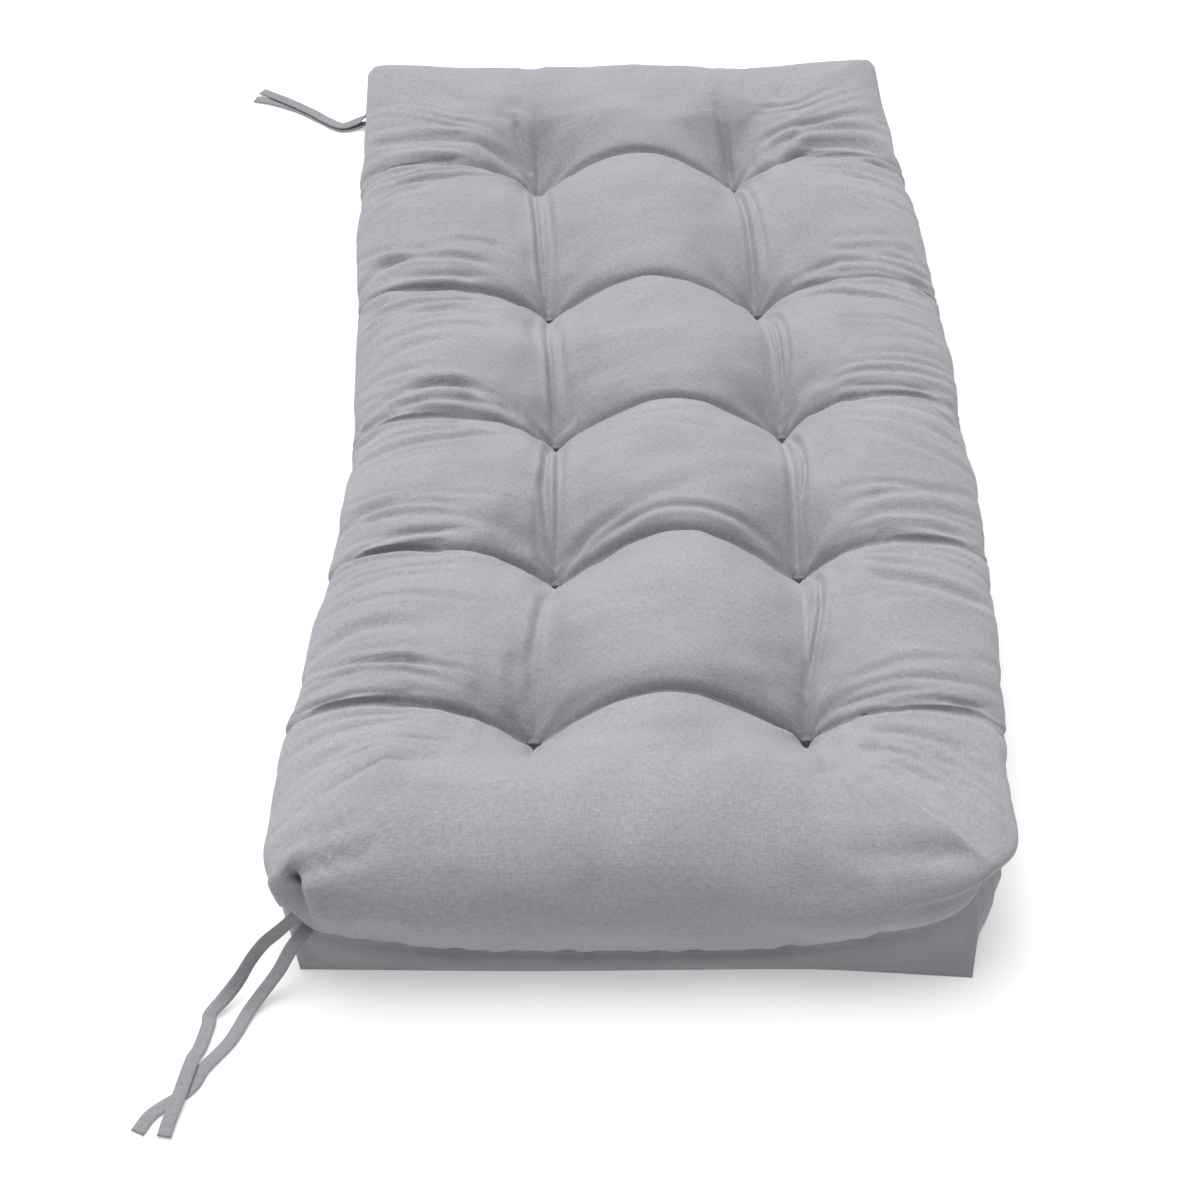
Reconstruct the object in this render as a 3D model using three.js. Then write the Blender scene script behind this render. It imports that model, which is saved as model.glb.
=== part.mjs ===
import * as THREE from 'three';

// Heights above the surface the cushion lies on. All sizes are millimetres.
const CROWN_Z = 112;
const SHOULDER_Z = 104;
const TUFT_Z = 50;
const UNDER_DIMPLE_Z = 11;

// The shoulder line lies this far inside the widest outline.
const SHOULDER_REACH = 80;
const CELLS_ACROSS = 3;
const CELLS_ALONG = 6;

// Mesh stations per cell, and stations down the side: to the seam, to the floor and under.
const STEPS_ACROSS = 8;
const STEPS_ALONG = 10;
const STEPS_TO_SEAM = 9;
const STEPS_TO_FLOOR = 3;
const STEPS_UNDER = 1;
const FURROW_CROWDING = 0.55;

// How a furrow opens: the wall's rise, the floor's rise between two tufts and its height there.
const WALL_POWER = 2;
const WALL_SHARPNESS = 0.72;
const FLOOR_POWER = 1.8;
const ROW_FLOOR = 0.58;
const COLUMN_FLOOR = 0.52;
const COLUMN_END_GAIN = 0.44;
const COLUMN_END_RATE = 1.6;
const FURROW_SOFTENING = 0.5;
const FURROW_FADE = 1.8;
const DOME_REACH = 1.2;
const UNDER_SHARE = 1.9;
const UNDER_SILL = 0.9;

// The side turns from level at the shoulder, past upright, to this angle under the bulge at the seam.
const TUCK_ANGLE = THREE.MathUtils.degToRad(58);
const BAND_ROLL = 1.8;

// Tuft knot half sizes, its mesh and the drop left between it and the furrow walls.
const KNOT = { halfLength: 5.5, halfWidth: 3, halfHeight: 2.5, around: 12, down: 8, clearance: 0.55 };

const TIE_WIDTH = 9.5;
const TIE_THICKNESS = 1.2;
const TIE_STEPS = 4;
const UPWARD = new THREE.Vector3(0, 0, 1);

const CLOTH_COLOUR = 0xa9a6ad;
const KNOT_COLOUR = 0xb4b1b8;
const TIE_COLOUR = 0x9b999e;

function table(columns, rows) {
  const lists = {};
  columns.forEach((column, index) => {
    lists[column] = rows.map((row) => row[index]);
  });
  return lists;
}

// One line for the near shoulder, each tuft row from near to far, and the far shoulder.
const ALONG = table(
  [
    ...['leftTuftY', 'rightTuftY', 'leftTuftX', 'rightTuftX'],
    ...['leftEdgeX', 'rightEdgeX', 'leftFootX', 'rightFootX'],
  ],
  [
    [-415, -418, -87, 103, -258, 238, -237, 209],
    [-330, -334, -80, 108, -255, 249, -226, 218],
    [-169, -168, -62, 117, -234, 255, -202, 224],
    [-11, -6, -59, 117, -221, 256, -189, 225],
    [154, 154, -62, 109, -219, 254, -187, 222],
    [334, 336, -68, 101, -221, 247, -190, 215],
    [422, 422, -70, 99, -217, 237, -200, 218],
  ],
);

// One line for the left shoulder, the left tufts, the right tufts and the right shoulder.
const ACROSS = table(
  ['nearEdgeY', 'farEdgeY', 'nearFootY', 'farFootY'],
  [
    [-486, 499, -481, 490],
    [-499, 502, -487, 490],
    [-502, 502, -491, 489],
    [-495, 498, -501, 488],
  ],
);

// Height added to each cell's crown, one line per row of cells from near to far.
const CELL_FILL = table(
  ['left', 'middle', 'right'],
  [
    [0, 6, -6],
    [0, 9, -7],
    [-1, 3, 0],
    [-5, -3, -2],
    [-6, -4, -4],
    [-8, -8, -8],
  ],
);

// Heights of the seam and of the widest bulge, how far the seam lies inside it, the bulge of the band
// below the seam, and the outline's rounding.
const CORNERS = {
  nearLeft: { seamZ: 47, bulgeZ: 78, inset: 9, belly: 3, rounding: 46 },
  nearRight: { seamZ: 66, bulgeZ: 84, inset: 9, belly: 3, rounding: 54 },
  farLeft: { seamZ: 58, bulgeZ: 84, inset: 8, belly: 4, rounding: 14 },
  farRight: { seamZ: 62, bulgeZ: 86, inset: 8, belly: 4, rounding: 14 },
};

// The same heights at the middle of each side, and how far along the side a corner is felt.
const SIDES = {
  near: {
    ...{ seamZ: 21, bulgeZ: 54, inset: 11, belly: 4 },
    ...{ from: 'nearLeft', to: 'nearRight', reach: [0.34, 0.5], power: [2.6, 1.7] },
  },
  far: {
    ...{ seamZ: 46, bulgeZ: 66, inset: 12, belly: 9 },
    ...{ from: 'farLeft', to: 'farRight', reach: [0.4, 0.4], power: [2, 2] },
  },
  left: {
    ...{ seamZ: 38, bulgeZ: 62, inset: 14, belly: 13 },
    ...{ from: 'nearLeft', to: 'farLeft', reach: [0.22, 0.22], power: [2, 2] },
  },
  right: {
    ...{ seamZ: 40, bulgeZ: 62, inset: 13, belly: 13 },
    ...{ from: 'nearRight', to: 'farRight', reach: [0.22, 0.22], power: [2, 2] },
  },
};

// The cover laid flat: the width of the side strip and the sizes of the outer and inner cells.
const FLAT = { sideStrip: 130, outerAcross: 88, innerAcross: 178, outerAlong: 85, innerAlong: 165 };

// Main folds on the cover laid flat: start, middle and end across and along, half width and depth.
const FOLDS = [
  { start: [-256, 178], middle: [-230, 191], end: [-208, 201], width: 13, depth: 7 },
  { start: [-234, 107], middle: [-200, 125], end: [-162, 144], width: 13, depth: 4 },
  { start: [-234, 58], middle: [-219, 64], end: [-203, 69], width: 12, depth: 4 },
  { start: [-238, 5], middle: [-193, 28], end: [-159, 18], width: 14, depth: 5 },
  { start: [-236, -125], middle: [-216, -119], end: [-198, -124], width: 12, depth: 5 },
  { start: [-228, -262], middle: [-202, -261], end: [-178, -272], width: 13, depth: 5 },
  { start: [-216, 350], middle: [-169, 347], end: [-107, 334], width: 14, depth: 4 },
  { start: [245, -213], middle: [208, -219], end: [185, -210], width: 13, depth: 4 },
  { start: [245, -66], middle: [193, -63], end: [158, -48], width: 14, depth: 4 },
  { start: [250, 284], middle: [202, 312], end: [162, 290], width: 14, depth: 4 },
  { start: [132, -450], middle: [141, -466], end: [150, -498], width: 14, depth: 4 },
  { start: [-271, -406], middle: [-250, -408], end: [-228, -412], width: 12, depth: 4 },
  { start: [60, -457], middle: [62, -457], end: [64, -457], width: 26, depth: 3 },
];

// Stations of each tie from its seam to its free end: the middle of the tape and its turn about its length.
const TIES = {
  tie_near_upper: table(
    ['x', 'y', 'z', 'turn'],
    [
      [-234.2, -474.8, 50, 80],
      [-246, -480, 40.5, 75],
      [-258, -484, 31, 70],
      [-267, -490, 22, 60],
      [-275, -500, 14, 45],
      [-284, -509, 7, 20],
      [-293, -518, 2.2, 0],
      [-294, -527, 1.2, 0],
      [-298, -545, 1.2, 0],
      [-302, -556, 2.4, 0],
      [-308, -584, 2.4, 0],
      [-312, -600, 2.2, 0],
      [-315, -614, 1.2, 0],
    ],
  ),
  tie_near_lower: table(
    ['x', 'y', 'z', 'turn'],
    [
      [-228, -474.9, 38, 20],
      [-240, -488, 30, 15],
      [-249, -497, 18, 10],
      [-260, -506, 7, 5],
      [-269, -518, 2, 0],
      [-279, -540, 0.8, 0],
      [-294, -561, 0.7, 0],
      [-300, -574, 0.7, 0],
      [-308, -583, 0.7, 0],
      [-324, -596, 0.7, 0],
      [-332, -610, 0.7, 0],
    ],
  ),
  tie_far_upper: table(
    ['x', 'y', 'z', 'turn'],
    [
      [-208, 490, 57, 10],
      [-218, 512, 41, 10],
      [-223, 525, 20, 8],
      [-231, 536, 7, 0],
      [-249, 531, 2.8, 0],
      [-265, 542, 2.5, 0],
      [-277, 554, 2.5, 0],
      [-301, 574, 2.5, 0],
      [-328, 594, 2.2, 0],
    ],
  ),
  tie_far_lower: table(
    ['x', 'y', 'z', 'turn'],
    [
      [-205.7, 492.4, 53, 10],
      [-213, 509, 34, 10],
      [-219, 521, 13, 8],
      [-230, 533, 2.8, 0],
      [-250, 529, 0.8, 0],
      [-270, 545, 0.7, 0],
      [-290, 562, 0.7, 0],
      [-314, 576, 0.7, 0],
      [-334, 583, 0.7, 0],
    ],
  ),
};

function lerp(from, to, share) {
  return from + (to - from) * share;
}

function clamp01(value) {
  return Math.min(Math.max(value, 0), 1);
}

function ease(value) {
  const share = clamp01(value);
  return share * share * (3 - 2 * share);
}

// A smooth curve through evenly spaced values, straight at both ends.
function curve(station, values) {
  const last = values.length - 1;
  const here = Math.min(Math.max(station, 0), last);
  const index = Math.min(Math.floor(here), last - 1);
  const share = here - index;
  const start = values[index];
  const end = values[index + 1];
  const before = index === 0 ? 2 * start - end : values[index - 1];
  const after = index === last - 1 ? 2 * end - start : values[index + 2];
  const bend = 2 * before - 5 * start + 4 * end - after;
  const twist = 3 * start - before - 3 * end + after;
  return 0.5 * (2 * start + (end - before) * share + bend * share ** 2 + twist * share ** 3);
}

// A place on the cushion in cells: the tuft columns are at 1 and 2 across, the tuft rows at 1 to 5 along.
function place(across, along, left, right, near, far) {
  const xs = [
    curve(along, left),
    curve(along, ALONG.leftTuftX),
    curve(along, ALONG.rightTuftX),
    curve(along, right),
  ];
  const column = Math.min(Math.floor(across), CELLS_ACROSS - 1);
  const x = lerp(xs[column], xs[column + 1], across - column);
  const rowY = (station) => {
    return lerp(curve(station, ALONG.leftTuftY), curve(station, ALONG.rightTuftY), across - 1);
  };
  const lastTuft = CELLS_ALONG - 1;
  if (near && along < 1) {
    return [x, lerp(curve(across, near), rowY(1), along)];
  }
  if (far && along > lastTuft) {
    return [x, lerp(rowY(lastTuft), curve(across, far), along - lastTuft)];
  }
  return [x, rowY(along)];
}

function cornerNear(across, along) {
  const end = along < CELLS_ALONG / 2 ? 'near' : 'far';
  const side = across < CELLS_ACROSS / 2 ? 'Left' : 'Right';
  return end + side;
}

// The outline point a shoulder point reaches out to, drawn in where the corner is rounded.
function outline(across, along) {
  const point = place(across, along, ALONG.leftEdgeX, ALONG.rightEdgeX, ACROSS.nearEdgeY, ACROSS.farEdgeY);
  const rightward = across < CELLS_ACROSS / 2 ? 1 : -1;
  const farward = along < CELLS_ALONG / 2 ? 1 : -1;
  const edges = rightward > 0 ? ALONG.leftEdgeX : ALONG.rightEdgeX;
  const ends = farward > 0 ? ACROSS.nearEdgeY : ACROSS.farEdgeY;
  const cornerX = edges[farward > 0 ? 0 : CELLS_ALONG];
  const cornerY = ends[rightward > 0 ? 0 : CELLS_ACROSS];
  const { rounding } = CORNERS[cornerNear(across, along)];
  const onSide = across === 0 || across === CELLS_ACROSS;
  const onEnd = along === 0 || along === CELLS_ALONG;
  const shareX = onSide ? 1 : clamp01(1 - ((point[0] - cornerX) * rightward) / rounding);
  const shareY = onEnd ? 1 : clamp01(1 - ((point[1] - cornerY) * farward) / rounding);
  const draw = 1 - 1 / Math.hypot(1, Math.min(shareX, shareY));
  return [point[0] + rightward * rounding * shareX * draw, point[1] + farward * rounding * shareY * draw];
}

// A seam, bulge or inset size round the sides.
function around(across, along, size) {
  const shareAcross = across / CELLS_ACROSS;
  const shareAlong = along / CELLS_ALONG;
  const distances = { near: shareAlong, far: 1 - shareAlong, left: shareAcross, right: 1 - shareAcross };
  const nearest = Object.keys(distances).reduce((a, b) => (distances[b] < distances[a] ? b : a));
  const side = SIDES[nearest];
  const run = nearest === 'near' || nearest === 'far' ? shareAcross : shareAlong;
  const fromWeight = clamp01(1 - run / side.reach[0]) ** side.power[0];
  const toWeight = clamp01(1 - (1 - run) / side.reach[1]) ** side.power[1];
  const fromGain = CORNERS[side.from][size] - side[size];
  const toGain = CORNERS[side.to][size] - side[size];
  return side[size] + fromGain * fromWeight + toGain * toWeight;
}

// Distance from the nearest tuft line: 0 on it, 1 in the middle of an inner cell or at an outer one's end.
function fromTuftLine(station, cells) {
  if (station < 1) {
    return 1 - station;
  }
  if (station > cells - 1) {
    return station - (cells - 1);
  }
  return 2 * Math.abs(station - Math.round(station));
}

// How full the cushion is: 1 on a crown, 0 at a tuft. Furrows grow soft down the side.
function fullness(across, along, down) {
  const distanceAcross = fromTuftLine(across, CELLS_ACROSS);
  const distanceAlong = fromTuftLine(along, CELLS_ALONG);
  const softness = ease(down / FURROW_SOFTENING);
  const wall = (distance) => {
    const sharp = (1 - (1 - distance) ** WALL_POWER) ** WALL_SHARPNESS;
    return lerp(sharp, ease(distance), softness);
  };
  const floor = (distance) => 1 - (1 - distance) ** FLOOR_POWER;
  const wallAcross = wall(distanceAcross);
  const wallAlong = wall(distanceAlong);
  const end = clamp01(Math.abs(along - CELLS_ALONG / 2) - (CELLS_ALONG / 2 - 1));
  const columnFloor = COLUMN_FLOOR + COLUMN_END_GAIN * ease(end * COLUMN_END_RATE);
  const rowPart = (1 - wallAlong) * ROW_FLOOR * floor(distanceAcross);
  const columnPart = (1 - wallAcross) * columnFloor * floor(distanceAlong);
  return wallAcross * wallAlong + rowPart + columnPart;
}

function cellFill(across, along) {
  const row = Math.min(Math.max(along - 0.5, 0), CELLS_ALONG - 1);
  const column = Math.min(Math.max(across - 0.5, 0), CELLS_ACROSS - 1);
  const middle = curve(row, CELL_FILL.middle);
  if (column < 1) {
    return lerp(curve(row, CELL_FILL.left), middle, ease(column));
  }
  return lerp(middle, curve(row, CELL_FILL.right), ease(column - 1));
}

// Millimetres on the cover laid flat, from the middle, for a station past or within the cells.
function flatten(station, cells, outer, inner) {
  const half = cells / 2;
  const offset = Math.abs(station - half);
  const innerEnd = half - 1;
  const innerRun = Math.min(offset, innerEnd) * inner;
  const outerRun = Math.min(Math.max(offset - innerEnd, 0), 1) * outer;
  const sideRun = Math.max(offset - half, 0) * FLAT.sideStrip;
  return Math.sign(station - half) * (innerRun + outerRun + sideRun);
}

function distanceToSegment(point, start, end) {
  const line = new THREE.Line3(new THREE.Vector3(...start, 0), new THREE.Vector3(...end, 0));
  const spot = new THREE.Vector3(...point, 0);
  return line.closestPointToPoint(spot, true, new THREE.Vector3()).distanceTo(spot);
}

function foldDepth(across, along, down) {
  const beyond = (station, cells) => {
    if (station === 0) {
      return -down;
    }
    return station === cells ? cells + down : station;
  };
  const onSide = across === 0 || across === CELLS_ACROSS;
  const flatAcross = onSide ? beyond(across, CELLS_ACROSS) : across;
  const flatAlong = onSide ? along : beyond(along, CELLS_ALONG);
  const spot = [
    flatten(flatAcross, CELLS_ACROSS, FLAT.outerAcross, FLAT.innerAcross),
    flatten(flatAlong, CELLS_ALONG, FLAT.outerAlong, FLAT.innerAlong),
  ];
  return FOLDS.reduce((sum, fold) => {
    const first = distanceToSegment(spot, fold.start, fold.middle);
    const second = distanceToSegment(spot, fold.middle, fold.end);
    return sum + fold.depth * Math.exp(-((Math.min(first, second) / fold.width) ** 2));
  }, 0);
}

// The top surface's height before its furrows are drawn in.
function topHeight(across, along) {
  const edgeAcross = Math.min(across, CELLS_ACROSS - across);
  const edgeAlong = Math.min(along, CELLS_ALONG - along);
  const dome = ease(edgeAcross / DOME_REACH) * ease(edgeAlong / DOME_REACH);
  return lerp(SHOULDER_Z, CROWN_Z, dome) + cellFill(across, along);
}

function furrowDepth(across, along, down) {
  return (topHeight(across, along) - TUFT_Z) * (1 - fullness(across, along, down));
}

function topPoint(across, along) {
  const [x, y] = shoulderPlace(across, along);
  const z = topHeight(across, along) - furrowDepth(across, along, 0) - foldDepth(across, along, 0);
  return [x, y, z];
}

function underPoint(across, along) {
  const [x, y] = shoulderPlace(across, along);
  const dimple = clamp01((1 - fullness(across, along, 0)) * UNDER_SHARE - UNDER_SILL);
  return [x, y, UNDER_DIMPLE_Z * dimple];
}

function shoulderPlace(across, along) {
  const left = ALONG.leftEdgeX.map((x) => x + SHOULDER_REACH);
  const right = ALONG.rightEdgeX.map((x) => x - SHOULDER_REACH);
  return place(across, along, left, right);
}

// A point on the side: down is 0 at the shoulder, 1 at the seam, 2 at the floor, 3 at the underside's edge.
function sidePoint(across, along, down) {
  const shoulder = shoulderPlace(across, along);
  const rim = outline(across, along);
  const foot = place(across, along, ALONG.leftFootX, ALONG.rightFootX, ACROSS.nearFootY, ACROSS.farFootY);
  const span = Math.hypot(rim[0] - shoulder[0], rim[1] - shoulder[1]);
  const outX = (rim[0] - shoulder[0]) / span;
  const outY = (rim[1] - shoulder[1]) / span;
  const seamZ = around(across, along, 'seamZ');
  const bulgeZ = around(across, along, 'bulgeZ');
  const inset = around(across, along, 'inset');
  if (down > 2) {
    const share = down - 2;
    return [lerp(foot[0], shoulder[0], share), lerp(foot[1], shoulder[1], share), 0];
  }
  if (down > 1) {
    const share = down - 1;
    const belly = around(across, along, 'belly') * Math.sin(Math.PI * share);
    const seamX = shoulder[0] + outX * (span - inset);
    const seamY = shoulder[1] + outY * (span - inset);
    const x = lerp(seamX, foot[0], share ** BAND_ROLL) + outX * belly;
    const y = lerp(seamY, foot[1], share ** BAND_ROLL) + outY * belly;
    return [x, y, seamZ * (1 - share)];
  }
  const angle = Math.PI / 2 - (Math.PI / 2 + TUCK_ANGLE) * down;
  const edgeZ = SHOULDER_Z + cellFill(across, along);
  const tuck = (1 - Math.cos(angle)) / (1 - Math.cos(TUCK_ANGLE));
  const drop = Math.sin(angle) / Math.sin(TUCK_ANGLE);
  const out = angle >= 0 ? span * Math.cos(angle) : span - inset * tuck;
  const z = angle >= 0 ? lerp(bulgeZ, edgeZ, Math.sin(angle)) : bulgeZ + (bulgeZ - seamZ) * drop;
  const taper = (1 - down) ** FURROW_FADE;
  const sink = furrowDepth(across, along, down) * taper + foldDepth(across, along, down) * (1 - down);
  const flatOut = out - sink * Math.cos(angle);
  return [shoulder[0] + outX * flatOut, shoulder[1] + outY * flatOut, z - sink * Math.sin(angle)];
}

// Cell stations crowded towards the furrows.
function crowded(index, steps, cells) {
  const cell = Math.min(Math.floor(index / steps), cells - 1);
  const share = index / steps - cell;
  if (cell === 0) {
    return share + (FURROW_CROWDING * Math.sin(Math.PI * share)) / Math.PI;
  }
  if (cell === cells - 1) {
    return cell + share - (FURROW_CROWDING * Math.sin(Math.PI * share)) / Math.PI;
  }
  return cell + share - (FURROW_CROWDING * Math.sin(2 * Math.PI * share)) / (2 * Math.PI);
}

function sideStations() {
  const stations = [];
  for (let step = 1; step <= STEPS_TO_SEAM; step += 1) {
    stations.push(step / STEPS_TO_SEAM);
  }
  for (let step = 1; step <= STEPS_TO_FLOOR; step += 1) {
    stations.push(1 + step / STEPS_TO_FLOOR);
  }
  for (let step = 1; step < STEPS_UNDER; step += 1) {
    stations.push(2 + step / STEPS_UNDER);
  }
  return stations;
}

function closedGeometry(points, faces) {
  const geometry = new THREE.BufferGeometry();
  geometry.setAttribute('position', new THREE.Float32BufferAttribute(points.flat(), 3));
  const triangles = faces.flatMap(([a, b, c, d]) => [a, b, c, a, c, d]);
  geometry.setIndex(triangles);
  geometry.computeVertexNormals();
  return geometry;
}

// The cushion is a box of stations: a top sheet, rings down the side and an underside sheet.
function cushionGeometry() {
  const lastAcross = CELLS_ACROSS * STEPS_ACROSS;
  const lastAlong = CELLS_ALONG * STEPS_ALONG;
  const across = (index) => crowded(index, STEPS_ACROSS, CELLS_ACROSS);
  const along = (index) => crowded(index, STEPS_ALONG, CELLS_ALONG);
  const sheetIndex = (i, j) => i * (lastAlong + 1) + j;
  const rim = [];
  for (let i = 0; i < lastAcross; i += 1) {
    rim.push([i, 0]);
  }
  for (let j = 0; j < lastAlong; j += 1) {
    rim.push([lastAcross, j]);
  }
  for (let i = lastAcross; i > 0; i -= 1) {
    rim.push([i, lastAlong]);
  }
  for (let j = lastAlong; j > 0; j -= 1) {
    rim.push([0, j]);
  }
  const sheet = (pointAt) => {
    const points = [];
    for (let i = 0; i <= lastAcross; i += 1) {
      for (let j = 0; j <= lastAlong; j += 1) {
        points.push(pointAt(across(i), along(j)));
      }
    }
    return points;
  };
  const stations = sideStations();
  const top = sheet(topPoint);
  const rings = stations.map((down) => rim.map(([i, j]) => sidePoint(across(i), along(j), down)));
  const under = sheet(underPoint);
  const underStart = top.length + stations.length * rim.length;
  const faces = [];
  for (let i = 0; i < lastAcross; i += 1) {
    for (let j = 0; j < lastAlong; j += 1) {
      const steps = [[0, 0], [1, 0], [1, 1], [0, 1]];
      const corners = steps.map(([stepX, stepY]) => sheetIndex(i + stepX, j + stepY));
      faces.push(corners);
      faces.push(corners.map((corner) => underStart + corner).reverse());
    }
  }
  const levels = [
    rim.map(([i, j]) => sheetIndex(i, j)),
    ...stations.map((down, ring) => rim.map((spot, index) => top.length + ring * rim.length + index)),
    rim.map(([i, j]) => underStart + sheetIndex(i, j)),
  ];
  for (let level = 1; level < levels.length; level += 1) {
    const upper = levels[level - 1];
    const lower = levels[level];
    for (let index = 0; index < rim.length; index += 1) {
      const next = (index + 1) % rim.length;
      faces.push([upper[index], lower[index], lower[next], upper[next]]);
    }
  }
  return closedGeometry([...top, ...rings.flat(), ...under], faces);
}

function knotGeometry() {
  const geometry = new THREE.SphereGeometry(1, KNOT.around, KNOT.down);
  geometry.rotateX(Math.PI / 2);
  geometry.scale(KNOT.halfLength, KNOT.halfWidth, KNOT.halfHeight);
  return geometry;
}

// Lowers a knot into its tuft until it all but meets the furrow walls.
function seatKnot(knot, cushion, x, y) {
  const caster = new THREE.Raycaster();
  const downward = new THREE.Vector3(0, 0, -1);
  const corners = knot.geometry.getAttribute('position');
  let seat = 0;
  for (let index = 0; index < corners.count; index += 1) {
    caster.set(new THREE.Vector3(x + corners.getX(index), y + corners.getY(index), CROWN_Z), downward);
    const [hit] = caster.intersectObject(cushion);
    seat = Math.max(seat, hit.point.z - corners.getZ(index));
  }
  knot.position.set(x, y, seat + KNOT.clearance);
}

function tieGeometry(route) {
  const stations = route.x.map((x, index) => new THREE.Vector3(x, route.y[index], route.z[index]));
  const path = new THREE.CatmullRomCurve3(stations, false, 'centripetal');
  const steps = (stations.length - 1) * TIE_STEPS;
  const points = [];
  for (let step = 0; step <= steps; step += 1) {
    const share = step / steps;
    const middle = path.getPoint(share);
    const forward = path.getTangent(share);
    const level = new THREE.Vector3().crossVectors(forward, UPWARD).normalize();
    const rise = new THREE.Vector3().crossVectors(level, forward);
    const turn = THREE.MathUtils.degToRad(curve(share * (stations.length - 1), route.turn));
    const wide = level.clone().multiplyScalar(Math.cos(turn)).addScaledVector(rise, Math.sin(turn));
    const thick = rise.clone().multiplyScalar(Math.cos(turn)).addScaledVector(level, -Math.sin(turn));
    [[1, 1], [-1, 1], [-1, -1], [1, -1]].forEach(([side, face]) => {
      const corner = middle.clone();
      corner.addScaledVector(wide, (side * TIE_WIDTH) / 2);
      corner.addScaledVector(thick, (face * TIE_THICKNESS) / 2);
      points.push(corner.toArray());
    });
  }
  const faces = [[0, 1, 2, 3]];
  for (let step = 0; step < steps; step += 1) {
    for (let side = 0; side < 4; side += 1) {
      const here = step * 4 + side;
      const next = step * 4 + ((side + 1) % 4);
      faces.push([here, here + 4, next + 4, next]);
    }
  }
  faces.push([3, 2, 1, 0].map((corner) => steps * 4 + corner));
  return closedGeometry(points, faces);
}

function addPiece(group, name, geometry, colour) {
  const material = new THREE.MeshStandardMaterial({ color: colour, roughness: 0.95, metalness: 0 });
  const mesh = new THREE.Mesh(geometry, material);
  mesh.name = name;
  group.add(mesh);
  return mesh;
}

function buildCushion() {
  const group = new THREE.Group();
  group.name = 'tufted_bench_cushion';
  const cushion = addPiece(group, 'cushion', cushionGeometry(), CLOTH_COLOUR);
  for (let row = 1; row < CELLS_ALONG; row += 1) {
    const left = addPiece(group, `tuft_left_${row}`, knotGeometry(), KNOT_COLOUR);
    seatKnot(left, cushion, ALONG.leftTuftX[row], ALONG.leftTuftY[row]);
    const right = addPiece(group, `tuft_right_${row}`, knotGeometry(), KNOT_COLOUR);
    seatKnot(right, cushion, ALONG.rightTuftX[row], ALONG.rightTuftY[row]);
  }
  Object.entries(TIES).forEach(([name, route]) => {
    addPiece(group, name, tieGeometry(route), TIE_COLOUR);
  });
  return group;
}

export default buildCushion();
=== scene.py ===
"""A tufted bench cushion on a pale floor: the stuffed cover, its tuft knots and its tape ties."""

import math

import bpy
import numpy as np
from mathutils import Matrix, Vector


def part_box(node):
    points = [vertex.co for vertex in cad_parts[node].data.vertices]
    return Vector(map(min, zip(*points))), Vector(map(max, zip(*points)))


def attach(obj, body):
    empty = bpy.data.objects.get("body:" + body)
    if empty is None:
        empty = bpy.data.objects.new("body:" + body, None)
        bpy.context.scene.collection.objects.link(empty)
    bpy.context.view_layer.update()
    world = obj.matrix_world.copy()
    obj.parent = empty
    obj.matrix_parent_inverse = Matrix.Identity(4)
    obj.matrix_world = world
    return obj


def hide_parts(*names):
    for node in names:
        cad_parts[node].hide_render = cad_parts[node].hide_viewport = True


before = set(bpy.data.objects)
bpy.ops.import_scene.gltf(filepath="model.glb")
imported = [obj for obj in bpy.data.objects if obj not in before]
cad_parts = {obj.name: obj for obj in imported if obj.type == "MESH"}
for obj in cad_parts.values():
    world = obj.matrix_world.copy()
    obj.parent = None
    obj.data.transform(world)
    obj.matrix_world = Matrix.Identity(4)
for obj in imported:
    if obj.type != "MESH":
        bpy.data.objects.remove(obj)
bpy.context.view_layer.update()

MM = 0.001
BODY = "root"
RNG = np.random.default_rng(7)
TINY = 1e-9
FAR_AWAY = 1e9

# Camera: place in millimetres, angles in radians, focal length in pixels of the picture's width.
CAMERA_PLACE = (-75.1, -1633.1, 1388.9)
CAMERA_PITCH = 0.74465
CAMERA_YAW = 0.03109
CAMERA_ROLL = 0.00147
FOCAL_PIXELS = 2700.8
IMAGE_PIXELS = 1200
SENSOR_MM = 36.0

# Cells between the tufts, then heights above the floor and the shoulder's reach in millimetres, and how many
# cells in from the edge the dome is full.
CELLS_ACROSS = 3
CELLS_ALONG = 6
CROWN_Z = 112.0
SHOULDER_Z = 104.0
TUFT_Z = 50.0
UNDER_DIMPLE_Z = 11.0
SHOULDER_REACH = 80.0
DOME_REACH = 1.2

# Furrows. A floor is the fullness halfway between two tufts, from 0 at a tuft to 1 on a crown. A wall with a
# smaller number is steeper at its foot. Beyond the end tufts the columns rise to a floor of their own.
ROW_FLOOR = 0.8
NEAR_WALL = 0.5
FAR_WALL = 0.8
COLUMN_FLOOR = 0.6
COLUMN_SHARPNESS = 0.95
END_COLUMN_FLOOR = 0.96
END_COLUMN_RISE = 1.6
FLOOR_CURVE = 1.8
SIDE_SOFTENING = 0.5
DIMPLE_GAIN = 1.9
DIMPLE_START = 0.9

# The side: the cover's tuck under its bulge, the furrows' fading and the band's roll to the floor.
TUCK_ANGLE = math.radians(58)
SINK_FADE = 1.8
BAND_ROLL = 1.8

# Mesh stations per cell and down the side: to the seam, to the floor and under. The underside is coarser.
STEPS_ACROSS = 39
STEPS_ALONG = 78
STEPS_TO_SEAM = 21
STEPS_TO_FLOOR = 6
STEPS_UNDER = 1
UNDER_STRIDE = 3
UNDER_SHEET = 4.0
FURROW_CROWDING = 0.35

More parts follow.
